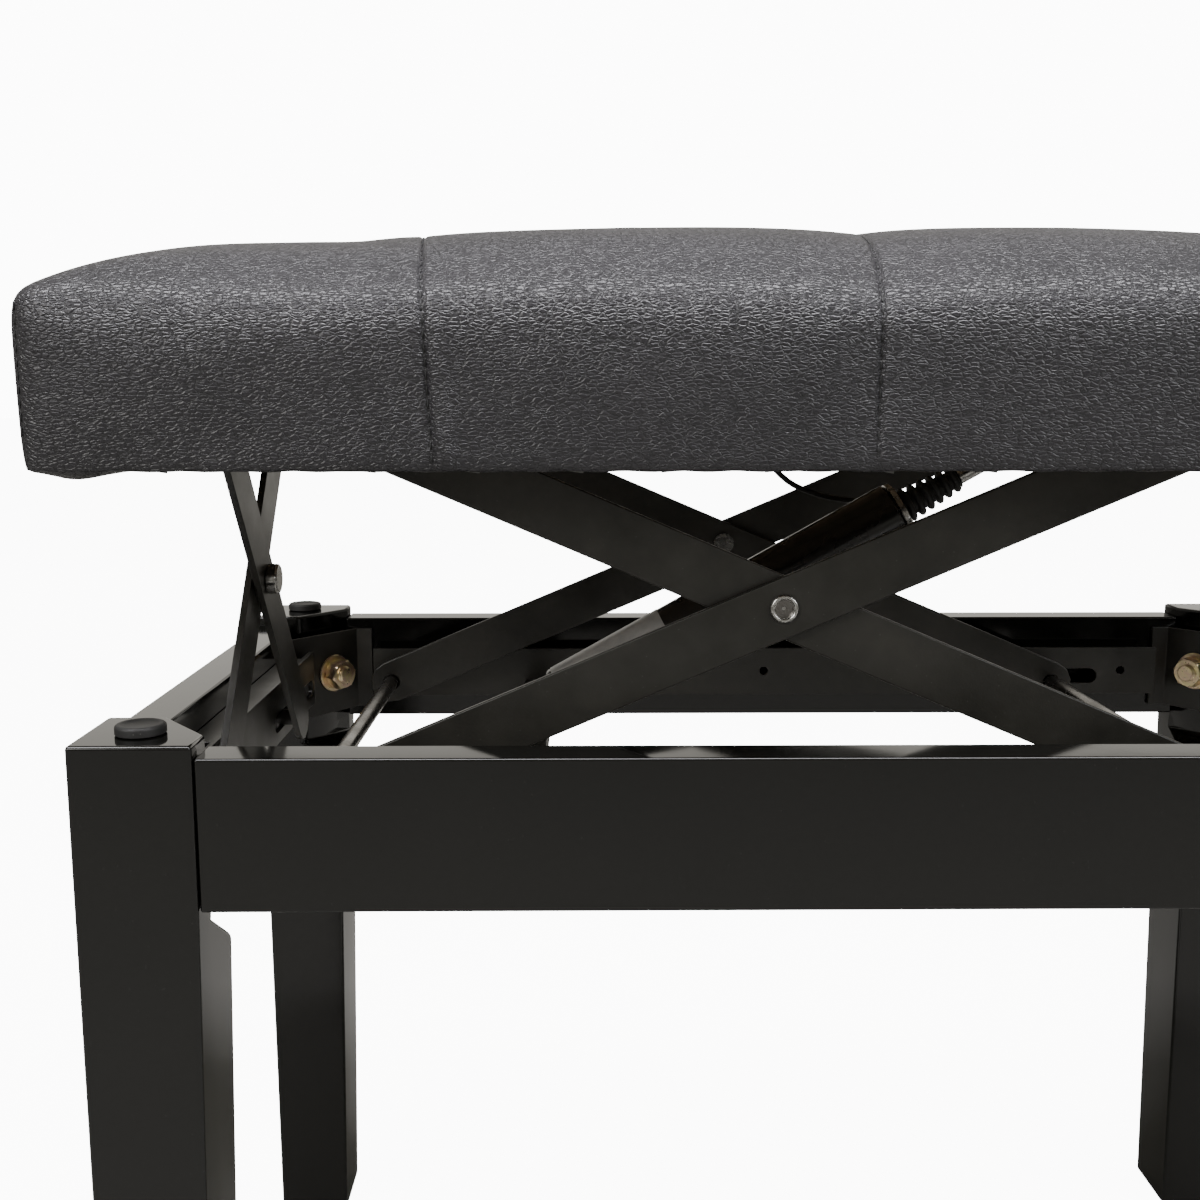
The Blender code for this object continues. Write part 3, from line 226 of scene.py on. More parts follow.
# uneven film on a surface: broad patches, fine specks and a fine noise
def mottleGroup():
    tree, start, end = groupShell(
        "surfaceMottle",
        [
            ("Vector", "NodeSocketVector", None),
            ("Scale", "NodeSocketFloat", 18.0),
            ("Fine Scale", "NodeSocketFloat", 900.0),
        ],
        [
            ("Patches", "NodeSocketFloat"),
            ("Specks", "NodeSocketFloat"),
            ("Peel", "NodeSocketFloat"),
        ],
    )
    vector = start.outputs["Vector"]
    broad = addNode(tree, "ShaderNodeTexNoise", {
        "Vector": vector, "Scale": start.outputs["Scale"], "Detail": 4.0, "Roughness": 0.6,
    })
    fine = addNode(tree, "ShaderNodeTexNoise", {
        "Vector": vector, "Scale": start.outputs["Fine Scale"], "Detail": 2.0, "Roughness": 0.5,
    })
    dots = addNode(tree, "ShaderNodeTexVoronoi", {
        "Vector": vector, "Scale": 260.0, "Randomness": 1.0,
    })
    tree.links.new(ramp(tree, broad.outputs["Fac"], 0.35, 0.7), end.inputs["Patches"])
    tree.links.new(ramp(tree, dots.outputs["Distance"], 0.09, 0.03), end.inputs["Specks"])
    tree.links.new(fine.outputs["Fac"], end.inputs["Peel"])
    return tree


# pebbled leather grain, drawn out along the width
def grainGroup():
    tree, start, end = groupShell(
        "leatherGrain",
        [
            ("Vector", "NodeSocketVector", None),
            ("Cell", "NodeSocketFloat", 820.0),
            ("Stretch", "NodeSocketFloat", 0.42),
        ],
        [("Height", "NodeSocketFloat"), ("Crease", "NodeSocketFloat")],
    )
    warp = addNode(tree, "ShaderNodeTexNoise", {
        "Vector": start.outputs["Vector"], "Scale": 260.0, "Detail": 2.0,
    })
    centred = addNode(tree, "ShaderNodeVectorMath", {
        0: warp.outputs["Color"], 1: (0.5, 0.5, 0.5),
    }, operation="SUBTRACT")
    pushed = addNode(tree, "ShaderNodeVectorMath", {
        0: centred.outputs["Vector"], 1: (0.0022, 0.0016, 0.0016), 2: start.outputs["Vector"],
    }, operation="MULTIPLY_ADD")
    squeeze = addNode(tree, "ShaderNodeCombineXYZ", {
        "X": start.outputs["Stretch"], "Y": 1.0, "Z": 1.0,
    })
    drawn = addNode(tree, "ShaderNodeVectorMath", {
        0: pushed.outputs["Vector"], 1: squeeze.outputs["Vector"],
    }, operation="MULTIPLY")
    cells = addNode(tree, "ShaderNodeTexVoronoi", {
        "Vector": drawn.outputs["Vector"], "Scale": start.outputs["Cell"], "Randomness": 0.9,
    }, feature="DISTANCE_TO_EDGE")
    small = addNode(tree, "ShaderNodeTexVoronoi", {
        "Vector": drawn.outputs["Vector"], "Scale": 2600.0, "Randomness": 1.0,
    }, feature="SMOOTH_F1")
    edge = ramp(tree, cells.outputs["Distance"], 0.0, 0.22)
    both = addNode(tree, "ShaderNodeMath", {
        0: small.outputs["Distance"], 1: -0.35, 2: edge,
    }, operation="MULTIPLY_ADD")
    tree.links.new(both.outputs["Value"], end.inputs["Height"])
    tree.links.new(ramp(tree, cells.outputs["Distance"], 0.10, 0.0), end.inputs["Crease"])
    return tree


mottle = mottleGroup()
grain = grainGroup()


# a mottled finish: two colours, a band of roughness, a fine relief, dust specks
def surface(name, color, other, roughness, settings=None, scale=18.0, fine=900.0,
            bump=0.0, bumpDistance=0.0002, roughSpan=0.1, speck=None):
    made = bpy.data.materials.new(name)
    made.use_nodes = True
    tree = made.node_tree
    shader = tree.nodes["Principled BSDF"]
    place = addNode(tree, "ShaderNodeTexCoord")
    film = addNode(tree, "ShaderNodeGroup", node_tree=mottle)
    tree.links.new(place.outputs["Object"], film.inputs["Vector"])
    film.inputs["Scale"].default_value = scale
    film.inputs["Fine Scale"].default_value = fine
    mixed = addNode(tree, "ShaderNodeMix", {
        "Factor": film.outputs["Patches"],
    }, data_type="RGBA")
    mixed.inputs["A"].default_value = (*color, 1)
    mixed.inputs["B"].default_value = (*other, 1)
    tone = mixed.outputs["Result"]
    if speck:
        dusty = addNode(tree, "ShaderNodeMix", {
            "Factor": film.outputs["Specks"], "A": tone, "B": (*speck, 1),
        }, data_type="RGBA")
        tone = dusty.outputs["Result"]
    tree.links.new(tone, shader.inputs["Base Color"])
    rough = ramp(tree, film.outputs["Patches"], 0, 1, roughness, roughness + roughSpan)
    tree.links.new(rough, shader.inputs["Roughness"])
    if bump:
        relief = addNode(tree, "ShaderNodeBump", {
            "Height": film.outputs["Peel"], "Strength": bump, "Distance": bumpDistance,
        })
        tree.links.new(relief.outputs["Normal"], shader.inputs["Normal"])
    for label, value in (settings or {}).items():
        shader.inputs[label].default_value = value
    return made


woodLook = {
    "stretch": (6, 90, 700),  # streaks per metre
    "pale": (0.34, 0.26, 0.17),
    "dark": (0.20, 0.14, 0.085),
    "roughness": 0.62,
}


# layers of pale plywood with a wandering grain along the width
def woodSurface():
    made = bpy.data.materials.new("birchPly")
    made.use_nodes = True
    tree = made.node_tree
    shader = tree.nodes["Principled BSDF"]
    place = addNode(tree, "ShaderNodeTexCoord")
    drawn = addNode(tree, "ShaderNodeMapping", {"Vector": place.outputs["Object"]})
    drawn.inputs["Scale"].default_value = woodLook["stretch"]
    streak = addNode(tree, "ShaderNodeTexNoise", {
        "Vector": drawn.outputs["Vector"], "Scale": 1.0, "Detail": 6.0, "Distortion": 0.6,
    })
    mixed = addNode(tree, "ShaderNodeMix", {
        "Factor": ramp(tree, streak.outputs["Fac"], 0.3, 0.7),
        "A": (*woodLook["pale"], 1),
        "B": (*woodLook["dark"], 1),
    }, data_type="RGBA")
    tree.links.new(mixed.outputs["Result"], shader.inputs["Base Color"])
    relief = addNode(tree, "ShaderNodeBump", {
        "Height": streak.outputs["Fac"], "Strength": 0.3, "Distance": 0.0003,
    })
    tree.links.new(relief.outputs["Normal"], shader.inputs["Normal"])
    shader.inputs["Roughness"].default_value = woodLook["roughness"]
    return made


zincLook = {
    "straw": (0.86, 0.76, 0.42),
    "pink": (0.78, 0.55, 0.45),
    "patches": 160.0,
    "roughness": (0.2, 0.42),
}


# yellow-passivated zinc, which shifts between straw and pink
def zincSurface():
    made = bpy.data.materials.new("yellowZinc")
    made.use_nodes = True
    tree = made.node_tree
    shader = tree.nodes["Principled BSDF"]
    place = addNode(tree, "ShaderNodeTexCoord")
    film = addNode(tree, "ShaderNodeGroup", node_tree=mottle)
    tree.links.new(place.outputs["Object"], film.inputs["Vector"])
    film.inputs["Scale"].default_value = zincLook["patches"]
    mixed = addNode(tree, "ShaderNodeMix", {
        "Factor": film.outputs["Patches"],
        "A": (*zincLook["straw"], 1),
        "B": (*zincLook["pink"], 1),
    }, data_type="RGBA")
    tree.links.new(mixed.outputs["Result"], shader.inputs["Base Color"])
    rough = ramp(tree, film.outputs["Peel"], 0, 1, *zincLook["roughness"])
    tree.links.new(rough, shader.inputs["Roughness"])
    shader.inputs["Metallic"].default_value = 1.0
    return made


leatherLook = {
    "dark": (0.017, 0.016, 0.019),
    "light": (0.026, 0.024, 0.028),
    # painted shade: the colour the creases are darkened to
    "creaseShade": (0.007, 0.007, 0.008),
    "roughness": 0.34,
    "reliefStrength": 0.6,
    "reliefDistance": 0.00038,
    "creaseRough": 0.25,  # how much duller the creases are
    "patches": 14.0,
    "cell": 820.0,  # grain cells per metre
    "stretch": 0.42,  # along the width
}


# grained synthetic leather: creases duller than the pebbles, and darker with painted shade
def leatherSurface():
    look = leatherLook
    made = bpy.data.materials.new("greyLeather")
    made.use_nodes = True
    tree = made.node_tree
    shader = tree.nodes["Principled BSDF"]
    place = addNode(tree, "ShaderNodeTexCoord")
    film = addNode(tree, "ShaderNodeGroup", node_tree=mottle)
    tree.links.new(place.outputs["Object"], film.inputs["Vector"])
    film.inputs["Scale"].default_value = look["patches"]
    pebble = addNode(tree, "ShaderNodeGroup", node_tree=grain)
    tree.links.new(place.outputs["Object"], pebble.inputs["Vector"])
    pebble.inputs["Cell"].default_value = look["cell"]
    pebble.inputs["Stretch"].default_value = look["stretch"]
    tone = addNode(tree, "ShaderNodeMix", {
        "Factor": film.outputs["Patches"], "A": (*look["dark"], 1), "B": (*look["light"], 1),
    }, data_type="RGBA")
    # painted shade in the creases: the grain's crease mask mixes the tone towards a darker colour
    shadedCreases = addNode(tree, "ShaderNodeMix", {
        "Factor": pebble.outputs["Crease"],
        "A": tone.outputs["Result"],
        "B": (*look["creaseShade"], 1),
    }, data_type="RGBA")
    tree.links.new(shadedCreases.outputs["Result"], shader.inputs["Base Color"])
    rough = ramp(
        tree, pebble.outputs["Crease"], 0, 1,
        look["roughness"], look["roughness"] + look["creaseRough"],
    )
    tree.links.new(rough, shader.inputs["Roughness"])
    relief = addNode(tree, "ShaderNodeBump", {
        "Height": pebble.outputs["Height"],
        "Strength": look["reliefStrength"],
        "Distance": look["reliefDistance"],
    })
    tree.links.new(relief.outputs["Normal"], shader.inputs["Normal"])
    shader.inputs["Specular IOR Level"].default_value = 0.5
    return made


leather = leatherSurface()
lacquer = surface(
    "blackLacquer", (0.0028, 0.0029, 0.0024), (0.0040, 0.0040, 0.0034), 0.06,
    {"Specular IOR Level": 0.5},
    scale=9.0, fine=42.0, bump=0.05, bumpDistance=0.0006, roughSpan=0.10,
    speck=(0.016, 0.016, 0.015),
)
steel = surface(
    "paintedSteel", (0.017, 0.0165, 0.014), (0.030, 0.0285, 0.024), 0.30,
    {"Specular IOR Level": 0.55}, scale=26.0, fine=1100.0, bump=0.35,
    bumpDistance=0.00012, roughSpan=0.14, speck=(0.05, 0.05, 0.045),
)
shaftSteel = surface(
    "shaftSteel", (0.30, 0.29, 0.28), (0.20, 0.19, 0.18), 0.22, {"Metallic": 1.0},
    scale=60.0, fine=1500.0, bump=0.03, bumpDistance=0.00005,
)
chrome = surface(
    "rivetSteel", (0.58, 0.58, 0.57), (0.36, 0.35, 0.33), 0.14, {"Metallic": 1.0},
    scale=240.0, fine=2600.0, bump=0.12, bumpDistance=0.0001, roughSpan=0.2,
)
rubber = surface(
    "mouldedRubber", (0.018, 0.018, 0.018), (0.034, 0.034, 0.033), 0.5,
    {"Specular IOR Level": 0.4}, scale=60.0, fine=1400.0, bump=0.4, bumpDistance=0.0001,
    speck=(0.12, 0.12, 0.11),
)
plastic = surface(
    "blackPlastic", (0.012, 0.012, 0.012), (0.020, 0.020, 0.019), 0.34,
    {"Specular IOR Level": 0.5}, scale=40.0, fine=1900.0, bump=0.3, bumpDistance=0.00008,
)
tubePaint = surface(
    "tubePaint", (0.008, 0.008, 0.008), (0.013, 0.013, 0.012), 0.22,
    {"Coat Weight": 0.5, "Coat Roughness": 0.15}, scale=30.0, fine=700.0, bump=0.12,
    bumpDistance=0.0001,
)
labelFoil = surface(
    "labelFoil", (0.38, 0.38, 0.38), (0.50, 0.50, 0.49), 0.32, {"Metallic": 0.15},
    scale=90.0, fine=1200.0, bump=0.12, bumpDistance=0.0001,
)
thread = surface(
    "darkThread", (0.006, 0.006, 0.006), (0.016, 0.016, 0.017), 0.55, None,
    scale=900.0, fine=5200.0, bump=0.8, bumpDistance=0.0001,
)
staplesWire = surface(
    "stapleWire", (0.26, 0.26, 0.26), (0.15, 0.15, 0.145), 0.35, {"Metallic": 1.0},
    scale=120.0, fine=2000.0, bump=0.1, bumpDistance=0.0001,
)
wood = woodSurface()
zinc = zincSurface()
print("materials made")


view = {
    "place": (-0.1029, -0.6203, 0.4896),
    "down": 8.725,  # degrees below the horizon
    "turn": 0.578,  # degrees towards +X
    "lens": 39.765,
}


def setCamera():
    data = bpy.data.cameras.new("camera")
    data.lens = view["lens"]
    data.sensor_width = 36.0
    data.clip_start = 0.01
    data.clip_end = 60.0
    made = bpy.data.objects.new("camera", data)
    made.location = view["place"]
    made.rotation_euler = Euler((math.radians(90 - view["down"]), 0, -math.radians(view["turn"])))
    bpy.context.scene.collection.objects.link(made)
    bpy.context.scene.camera = made


lighting = {
    "sky": (1.0, 0.96, 0.86),
    "skyStrength": 0.34,
    "shown": 12.0,  # how bright the backdrop looks
    "floorShown": 11.0,
    "floor": (0.27, 0.265, 0.245),
    "aim": (0, 0, 0.42),  # what every lamp points at
    "lamps": (  # place, size, power, warmth
        ((0.0, -0.40, 2.1), (2.4, 0.42), 84.0, (0.97, 0.96, 1.0)),
        ((-1.6, -1.8, 1.6), (1.0, 1.4), 34.0, (1.0, 0.98, 0.95)),
        ((1.7, -1.5, 1.4), (0.8, 1.2), 20.0, (0.97, 0.98, 1.0)),
        ((0.1, 3.0, 0.95), (4.4, 1.7), 15.0, (1.0, 0.96, 0.88)),
    ),
}


def setLight():
    world = bpy.data.worlds.new("studio")
    world.use_nodes = True
    tree = world.node_tree
    back = tree.nodes["Background"]
    back.inputs["Color"].default_value = (*lighting["sky"], 1)
    back.inputs["Strength"].default_value = lighting["skyStrength"]
    seen = tree.nodes.new("ShaderNodeBackground")
    seen.inputs["Color"].default_value = (1, 1, 1, 1)
    seen.inputs["Strength"].default_value = lighting["shown"]
    path = tree.nodes.new("ShaderNodeLightPath")
    mix = tree.nodes.new("ShaderNodeMixShader")
    tree.links.new(path.outputs["Is Camera Ray"], mix.inputs[0])
    tree.links.new(back.outputs["Background"], mix.inputs[1])
    tree.links.new(seen.outputs["Background"], mix.inputs[2])
    tree.links.new(mix.outputs["Shader"], tree.nodes["World Output"].inputs["Surface"])
    bpy.context.scene.world = world
    target = Vector(lighting["aim"])
    for index, (place, size, power, tint) in enumerate(lighting["lamps"]):
        data = bpy.data.lights.new(f"softbox{index}", "AREA")
        data.shape = "RECTANGLE"
        data.size, data.size_y = size
        data.energy = power
        data.color = tint
        made = bpy.data.objects.new(f"softbox{index}", data)
        made.location = place
        made.visible_camera = False
        made.rotation_euler = (target - Vector(place)).to_track_quat("-Z", "Y").to_euler()
        bpy.context.scene.collection.objects.link(made)


def setFloor():
    corners = [(-30, -30, 0), (30, -30, 0), (30, 30, 0), (-30, 30, 0)]
    mesh = meshOf("floor", corners, [(0, 1, 2, 3)])
    made = bpy.data.materials.new("paleFloor")
    made.use_nodes = True
    tree = made.node_tree
    shader = tree.nodes["Principled BSDF"]
    shader.inputs["Base Color"].default_value = (*lighting["floor"], 1)
    shader.inputs["Roughness"].default_value = 0.9
    glow = tree.nodes.new("ShaderNodeEmission")
    glow.inputs["Strength"].default_value = lighting["floorShown"]
    both = tree.nodes.new("ShaderNodeAddShader")
    path = tree.nodes.new("ShaderNodeLightPath")
    mix = tree.nodes.new("ShaderNodeMixShader")
    tree.links.new(shader.outputs["BSDF"], both.inputs[0])
    tree.links.new(glow.outputs["Emission"], both.inputs[1])
    tree.links.new(path.outputs["Is Camera Ray"], mix.inputs[0])
    tree.links.new(shader.outputs["BSDF"], mix.inputs[1])
    tree.links.new(both.outputs["Shader"], mix.inputs[2])
    tree.links.new(mix.outputs["Shader"], tree.nodes["Material Output"].inputs["Surface"])
    mesh.materials.append(made)
    linked("floor", mesh)


setCamera()
setLight()
setFloor()
print("camera, light and floor set")


# places one small shape again and again along lines, each turned to follow its line
def rowTree():
    tree = bpy.data.node_groups.new("rowAlongLine", "GeometryNodeTree")
    face = tree.interface
    face.new_socket(name="Lines", in_out="INPUT", socket_type="NodeSocketGeometry")
    for label, kind, value in (
        ("Pitch", "NodeSocketFloat", 0.0036),
        ("Size", "NodeSocketVector", (0.0005, 0.0005, 0.0026)),
        ("Square", "NodeSocketBool", False),
        ("Unevenness", "NodeSocketFloat", 0.06),
        ("Seed", "NodeSocketInt", 7),
        ("Finish", "NodeSocketMaterial", None),
    ):
        socket = face.new_socket(name=label, in_out="INPUT", socket_type=kind)
        if value is not None:
            socket.default_value = value
    face.new_socket(name="Row", in_out="OUTPUT", socket_type="NodeSocketGeometry")
    start = tree.nodes.new("NodeGroupInput")
    end = tree.nodes.new("NodeGroupOutput")
    given = start.outputs
    lines = addNode(tree, "GeometryNodeMeshToCurve", {"Mesh": given["Lines"]})
    spaced = addNode(tree, "GeometryNodeResampleCurve", {
        "Curve": lines.outputs["Curve"], "Length": given["Pitch"],
    }, mode="LENGTH")
    bead = addNode(tree, "GeometryNodeMeshUVSphere", {"Segments": 6, "Rings": 5, "Radius": 0.5})
    block = addNode(tree, "GeometryNodeMeshCube", {"Size": (1, 1, 1)})
    shape = addNode(tree, "GeometryNodeSwitch", {
        "Switch": given["Square"],
        "False": bead.outputs["Mesh"],
        "True": block.outputs["Mesh"],
    }, input_type="GEOMETRY")
    tangent = addNode(tree, "GeometryNodeInputTangent")
    turned = addNode(tree, "FunctionNodeAlignRotationToVector", {
        "Vector": tangent.outputs["Tangent"],
    }, axis="Z")
    spread = addNode(tree, "ShaderNodeMath", {
        0: given["Unevenness"], 1: -1.0,
    }, operation="MULTIPLY")
    wobble = addNode(tree, "FunctionNodeRandomValue", {
        "Min": spread.outputs["Value"], "Max": given["Unevenness"], "Seed": given["Seed"],
    }, data_type="FLOAT")
    leaning = addNode(tree, "FunctionNodeAxisAngleToRotation", {
        "Axis": (0, 1, 0), "Angle": wobble.outputs[1],
    })
    facing = addNode(tree, "FunctionNodeRotateRotation", {
        "Rotation": turned.outputs["Rotation"], "Rotate By": leaning.outputs["Rotation"],
    }, rotation_space="LOCAL")
    placed = addNode(tree, "GeometryNodeInstanceOnPoints", {
        "Points": spaced.outputs["Curve"],
        "Instance": shape.outputs["Output"],
        "Rotation": facing.outputs["Rotation"],
        "Scale": given["Size"],
    })
    real = addNode(tree, "GeometryNodeRealizeInstances", {"Geometry": placed.outputs["Instances"]})
    painted = addNode(tree, "GeometryNodeSetMaterial", {
        "Geometry": real.outputs["Geometry"], "Material": given["Finish"],
    })
    tree.links.new(painted.outputs["Geometry"], end.inputs["Row"])
    return tree


rowAlong = rowTree()


# a row of stitches or staples along each line of points, as one plain mesh
def rowOf(name, lines, values, body):
    mesh = bpy.data.meshes.new(name)
    points = []
    edges = []
    for line in lines:
        first = len(points)
        points.extend(tuple(point) for point in line)
        edges.extend((first + index, first + index + 1) for index in range(len(line) - 1))
    mesh.from_pydata(points, edges, [])
    piece = linked(name, mesh)
    row = piece.modifiers.new("row", "NODES")
    row.node_group = rowAlong
    for item in rowAlong.interface.items_tree:
        if item.in_out == "INPUT" and item.name in values:
            row[item.identifier] = values[item.name]
    baked(piece)
    if not values.get("Square"):
        piece.data.shade_smooth()
    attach(piece, body)
    return piece


cover = {
    "roll": 0.009,  # radius zone between the sides and the top
    "corner": 0.014,
    "edgeZ": 0.523,
    "crown": 0.0372,
    "frontReach": 0.035,
    "endReach": (0.0200, 0.1200),
    "endShare": 0.550,
    "seams": (-0.150, 0.0, 0.150),
    "seamDip": (0.0007, 0.0034, 0.0026),
    "sag": (-0.192, 0.050, 0.0027),  # middle, reach and depth of the flatter left part
    "seamDrift": (  # sideways drift of each seam: hem, roll, a third back, back edge
        (-0.0051, -0.0078, -0.0160, -0.0100),
        (-0.0041, -0.0040, 0.0024, 0.0000),
        (0.0000, 0.0010, 0.0020, 0.0000),
    ),
    "seamReach": 0.026,
    "sideDip": 0.0007,
    "groove": 0.0009,
    "grooveReach": 0.0009,
    "cornerGroove": 0.0008,
    "taper": 0.0028,
    "hem": 0.014,
    "hemThick": 0.001,
    "wall": -0.0001,  # from the rim to the lining, outwards
    "fold": 0.0031,  # how far the gathered fabric hangs at a corner
    "foldX": 0.277,
    "foldReach": 0.0095,
    "allowance": 0.0015,  # ridge of the seam allowance beside a seam
    "voxel": 0.006,
    "pressure": 3.0,
    "frames": 14,
    "puff": 0.0016,  # how much the simulation may lift the cover
    "heldRim": 0.007,  # height above the hem that the simulation holds still
    "heldSeam": 0.0045,  # half width of the strip held along a seam
    "grid": (0.0065, 0.0020, 0.0009),  # spacing in the open, at the edges, at the seams
    "ripple": 0.00055,
    "wave": 0.00025,  # waviness of the hem
    "leverGap": 0.0075,  # room in the hem either side of the lever
    "stitchPitch": 0.0046,
    "stitchSize": (0.0008, 0.0008, 0.0033),
    "stitchLift": 0.00022,
    "staplePitch": 0.034,
    "stapleSize": (0.0010, 0.0004, 0.0090),
    "stapleInset": 0.0122,
}


# places from low to high that crowd together near the given spots
def gridLines(low, high, coarse, spots):
    stops = sorted({low, high, *[place for place, _ in spots]})
    found = [low]
    for start, stop in zip(stops, stops[1:]):
        places = np.linspace(start, stop, 500)
        step = np.full(500, coarse)
        for place, fine in spots:
            step = np.minimum(step, fine + 0.38 * np.abs(places - place))
        density = 1 / step
        total = np.concatenate([[0], np.cumsum((density[1:] + density[:-1]) / 2 * np.diff(places))])
        count = max(2, round(total[-1]))
        found.extend(np.interp(np.linspace(0, total[-1], count + 1)[1:], total, places))
    return np.array(found)


# crown above the roll line at these distances in from the end and from the front
def coverHeight(dx, dy):
    ends = cover["endShare"] * np.exp(-dx / cover["endReach"][0])
    ends = 1 - ends - (1 - cover["endShare"]) * np.exp(-dx / cover["endReach"][1])
    front = 1 - np.exp(-dy / cover["frontReach"])
    ends = np.maximum(ends, 1e-4)
    front = np.maximum(front, 1e-4)
    return cover["crown"] / (1 / ends + 1 / front - 1)


# bends a rectangle's corner zones into quarter circles
def roundedCorner(x, y, halfX, halfY):
    radius = cover["corner"]
    u = np.clip((np.abs(x) - (halfX - radius)) / radius, 0, 1)
    v = np.clip((np.abs(y) - (halfY - radius)) / radius, 0, 1)
    inside = (u > 0) & (v > 0)
    newX = np.where(inside, halfX - radius + radius * u * np.sqrt(1 - v * v / 2), np.abs(x))
    newY = np.where(inside, halfY - radius + radius * v * np.sqrt(1 - u * u / 2), np.abs(y))
    return np.sign(x) * newX, np.sign(y) * newY


# open outer surface of the cover: top grid and four sides, with its seam lines
def coverShell():
    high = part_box("seat_cushion")[1]
    halfX, halfY = high.x, high.y
    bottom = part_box("seat_batten_front")[0].z - cover["hemThick"] - 0.0004
    roll = cover["roll"]
    coarse, edge, fine = cover["grid"]
    spots = [(-halfX, edge), (halfX, edge)] + [(place, fine) for place in cover["seams"]]
    xs = gridLines(-halfX, halfX, coarse, spots)
    ys = gridLines(-halfY, halfY, coarse, [(-halfY, edge), (halfY, edge)])
    zs = gridLines(bottom, cover["edgeZ"], 0.0050, [(bottom, 0.0012), (cover["edgeZ"], 0.0018)])
    gridX, gridY = np.meshgrid(xs, ys, indexing="ij")
    dx = halfX - np.abs(gridX)
    dy = halfY - np.abs(gridY)
    turnX = np.clip(0.5 + 0.5 * dx / roll, 0, 1)
    turnY = np.clip(0.5 + 0.5 * dy / roll, 0, 1)
    insetX = np.where(dx < roll, roll * turnX**2, dx)
    insetY = np.where(dy < roll, roll * turnY**2, dy)
    topZ = cover["edgeZ"] + coverHeight(insetX, insetY)
    topZ -= roll * np.minimum((1 - turnX) ** 2 + (1 - turnY) ** 2, 0.36)
    flatX = np.sign(gridX) * (halfX - insetX)
    flatY = np.sign(gridY) * (halfY - insetY)
    topX, topY = roundedCorner(flatX, flatY, halfX, halfY)
    points = list(np.stack([topX, topY, topZ], axis=-1).reshape(-1, 3))
    countX, countY = len(xs), len(ys)

    def topIndex(i, j):
        return i * countY + j

    faces = []
    for i in range(countX - 1):
        for j in range(countY - 1):
            faces.append((
                topIndex(i, j), topIndex(i + 1, j),
                topIndex(i + 1, j + 1), topIndex(i, j + 1),
            ))
    around = [(i, 0) for i in range(countX)]
    around += [(countX - 1, j) for j in range(1, countY)]
    around += [(i, countY - 1) for i in range(countX - 2, -1, -1)]
    around += [(0, j) for j in range(countY - 2, 0, -1)]
    loops = [[topIndex(i, j) for i, j in around]]
    span = cover["edgeZ"] - bottom
    for z in zs[::-1][1:]:
        turn = np.clip(0.5 * (z - (cover["edgeZ"] - roll)) / roll, 0, 0.5)
        down = (cover["edgeZ"] - z) / span
        curl = 0.0006 * math.exp(-(z - bottom) / 0.0016)
        inset = roll * turn**2 + cover["taper"] * down**1.3 + curl
        loop = []
        for i, j in around:
            edgeTop = topZ[i, j]
            height = z
            if z > cover["edgeZ"] - roll:
                reached = cover["edgeZ"] + 4 * (edgeTop - (cover["edgeZ"] - roll / 4))
                height = (1 - turn) ** 2 * (cover["edgeZ"] - roll)
                height += 2 * turn * (1 - turn) * cover["edgeZ"] + turn**2 * reached
            x, y = xs[i], ys[j]
            if i in (0, countX - 1):
                x = math.copysign(halfX - inset, x)
            if j in (0, countY - 1):
                y = math.copysign(halfY - inset, y)
            limitX, limitY = halfX - inset, halfY - inset
            x = max(-limitX, min(limitX, x))
            y = max(-limitY, min(limitY, y))
            newX, newY = roundedCorner(np.array(x), np.array(y), halfX, halfY)
            loop.append(len(points))
            points.append(np.array([float(newX), float(newY), float(height)]))
        loops.append(loop)
    for upper, lower in zip(loops, loops[1:]):
        for index in range(len(upper)):
            after = (index + 1) % len(upper)
            faces.append((upper[index], lower[index], lower[after], upper[after]))
    seams = []
    for place in cover["seams"]:
        i = int(np.argmin(np.abs(xs - place)))
        frontAt = around.index((i, 0))
        backAt = around.index((i, countY - 1))
        line = [loop[frontAt] for loop in loops[::-1]]
        line += [topIndex(i, j) for j in range(1, countY)]
        line += [loop[backAt] for loop in loops[1:]]
        seams.append(line)
    corners = []
    for corner in ((0, 0), (countX - 1, 0), (countX - 1, countY - 1), (0, countY - 1)):
        at = around.index(corner)
        corners.append([loop[at] for loop in loops[::-1]])
    mesh = meshOf("seat_cover", points, faces)
    return linked("seat_cover", mesh), seams, corners, bottom


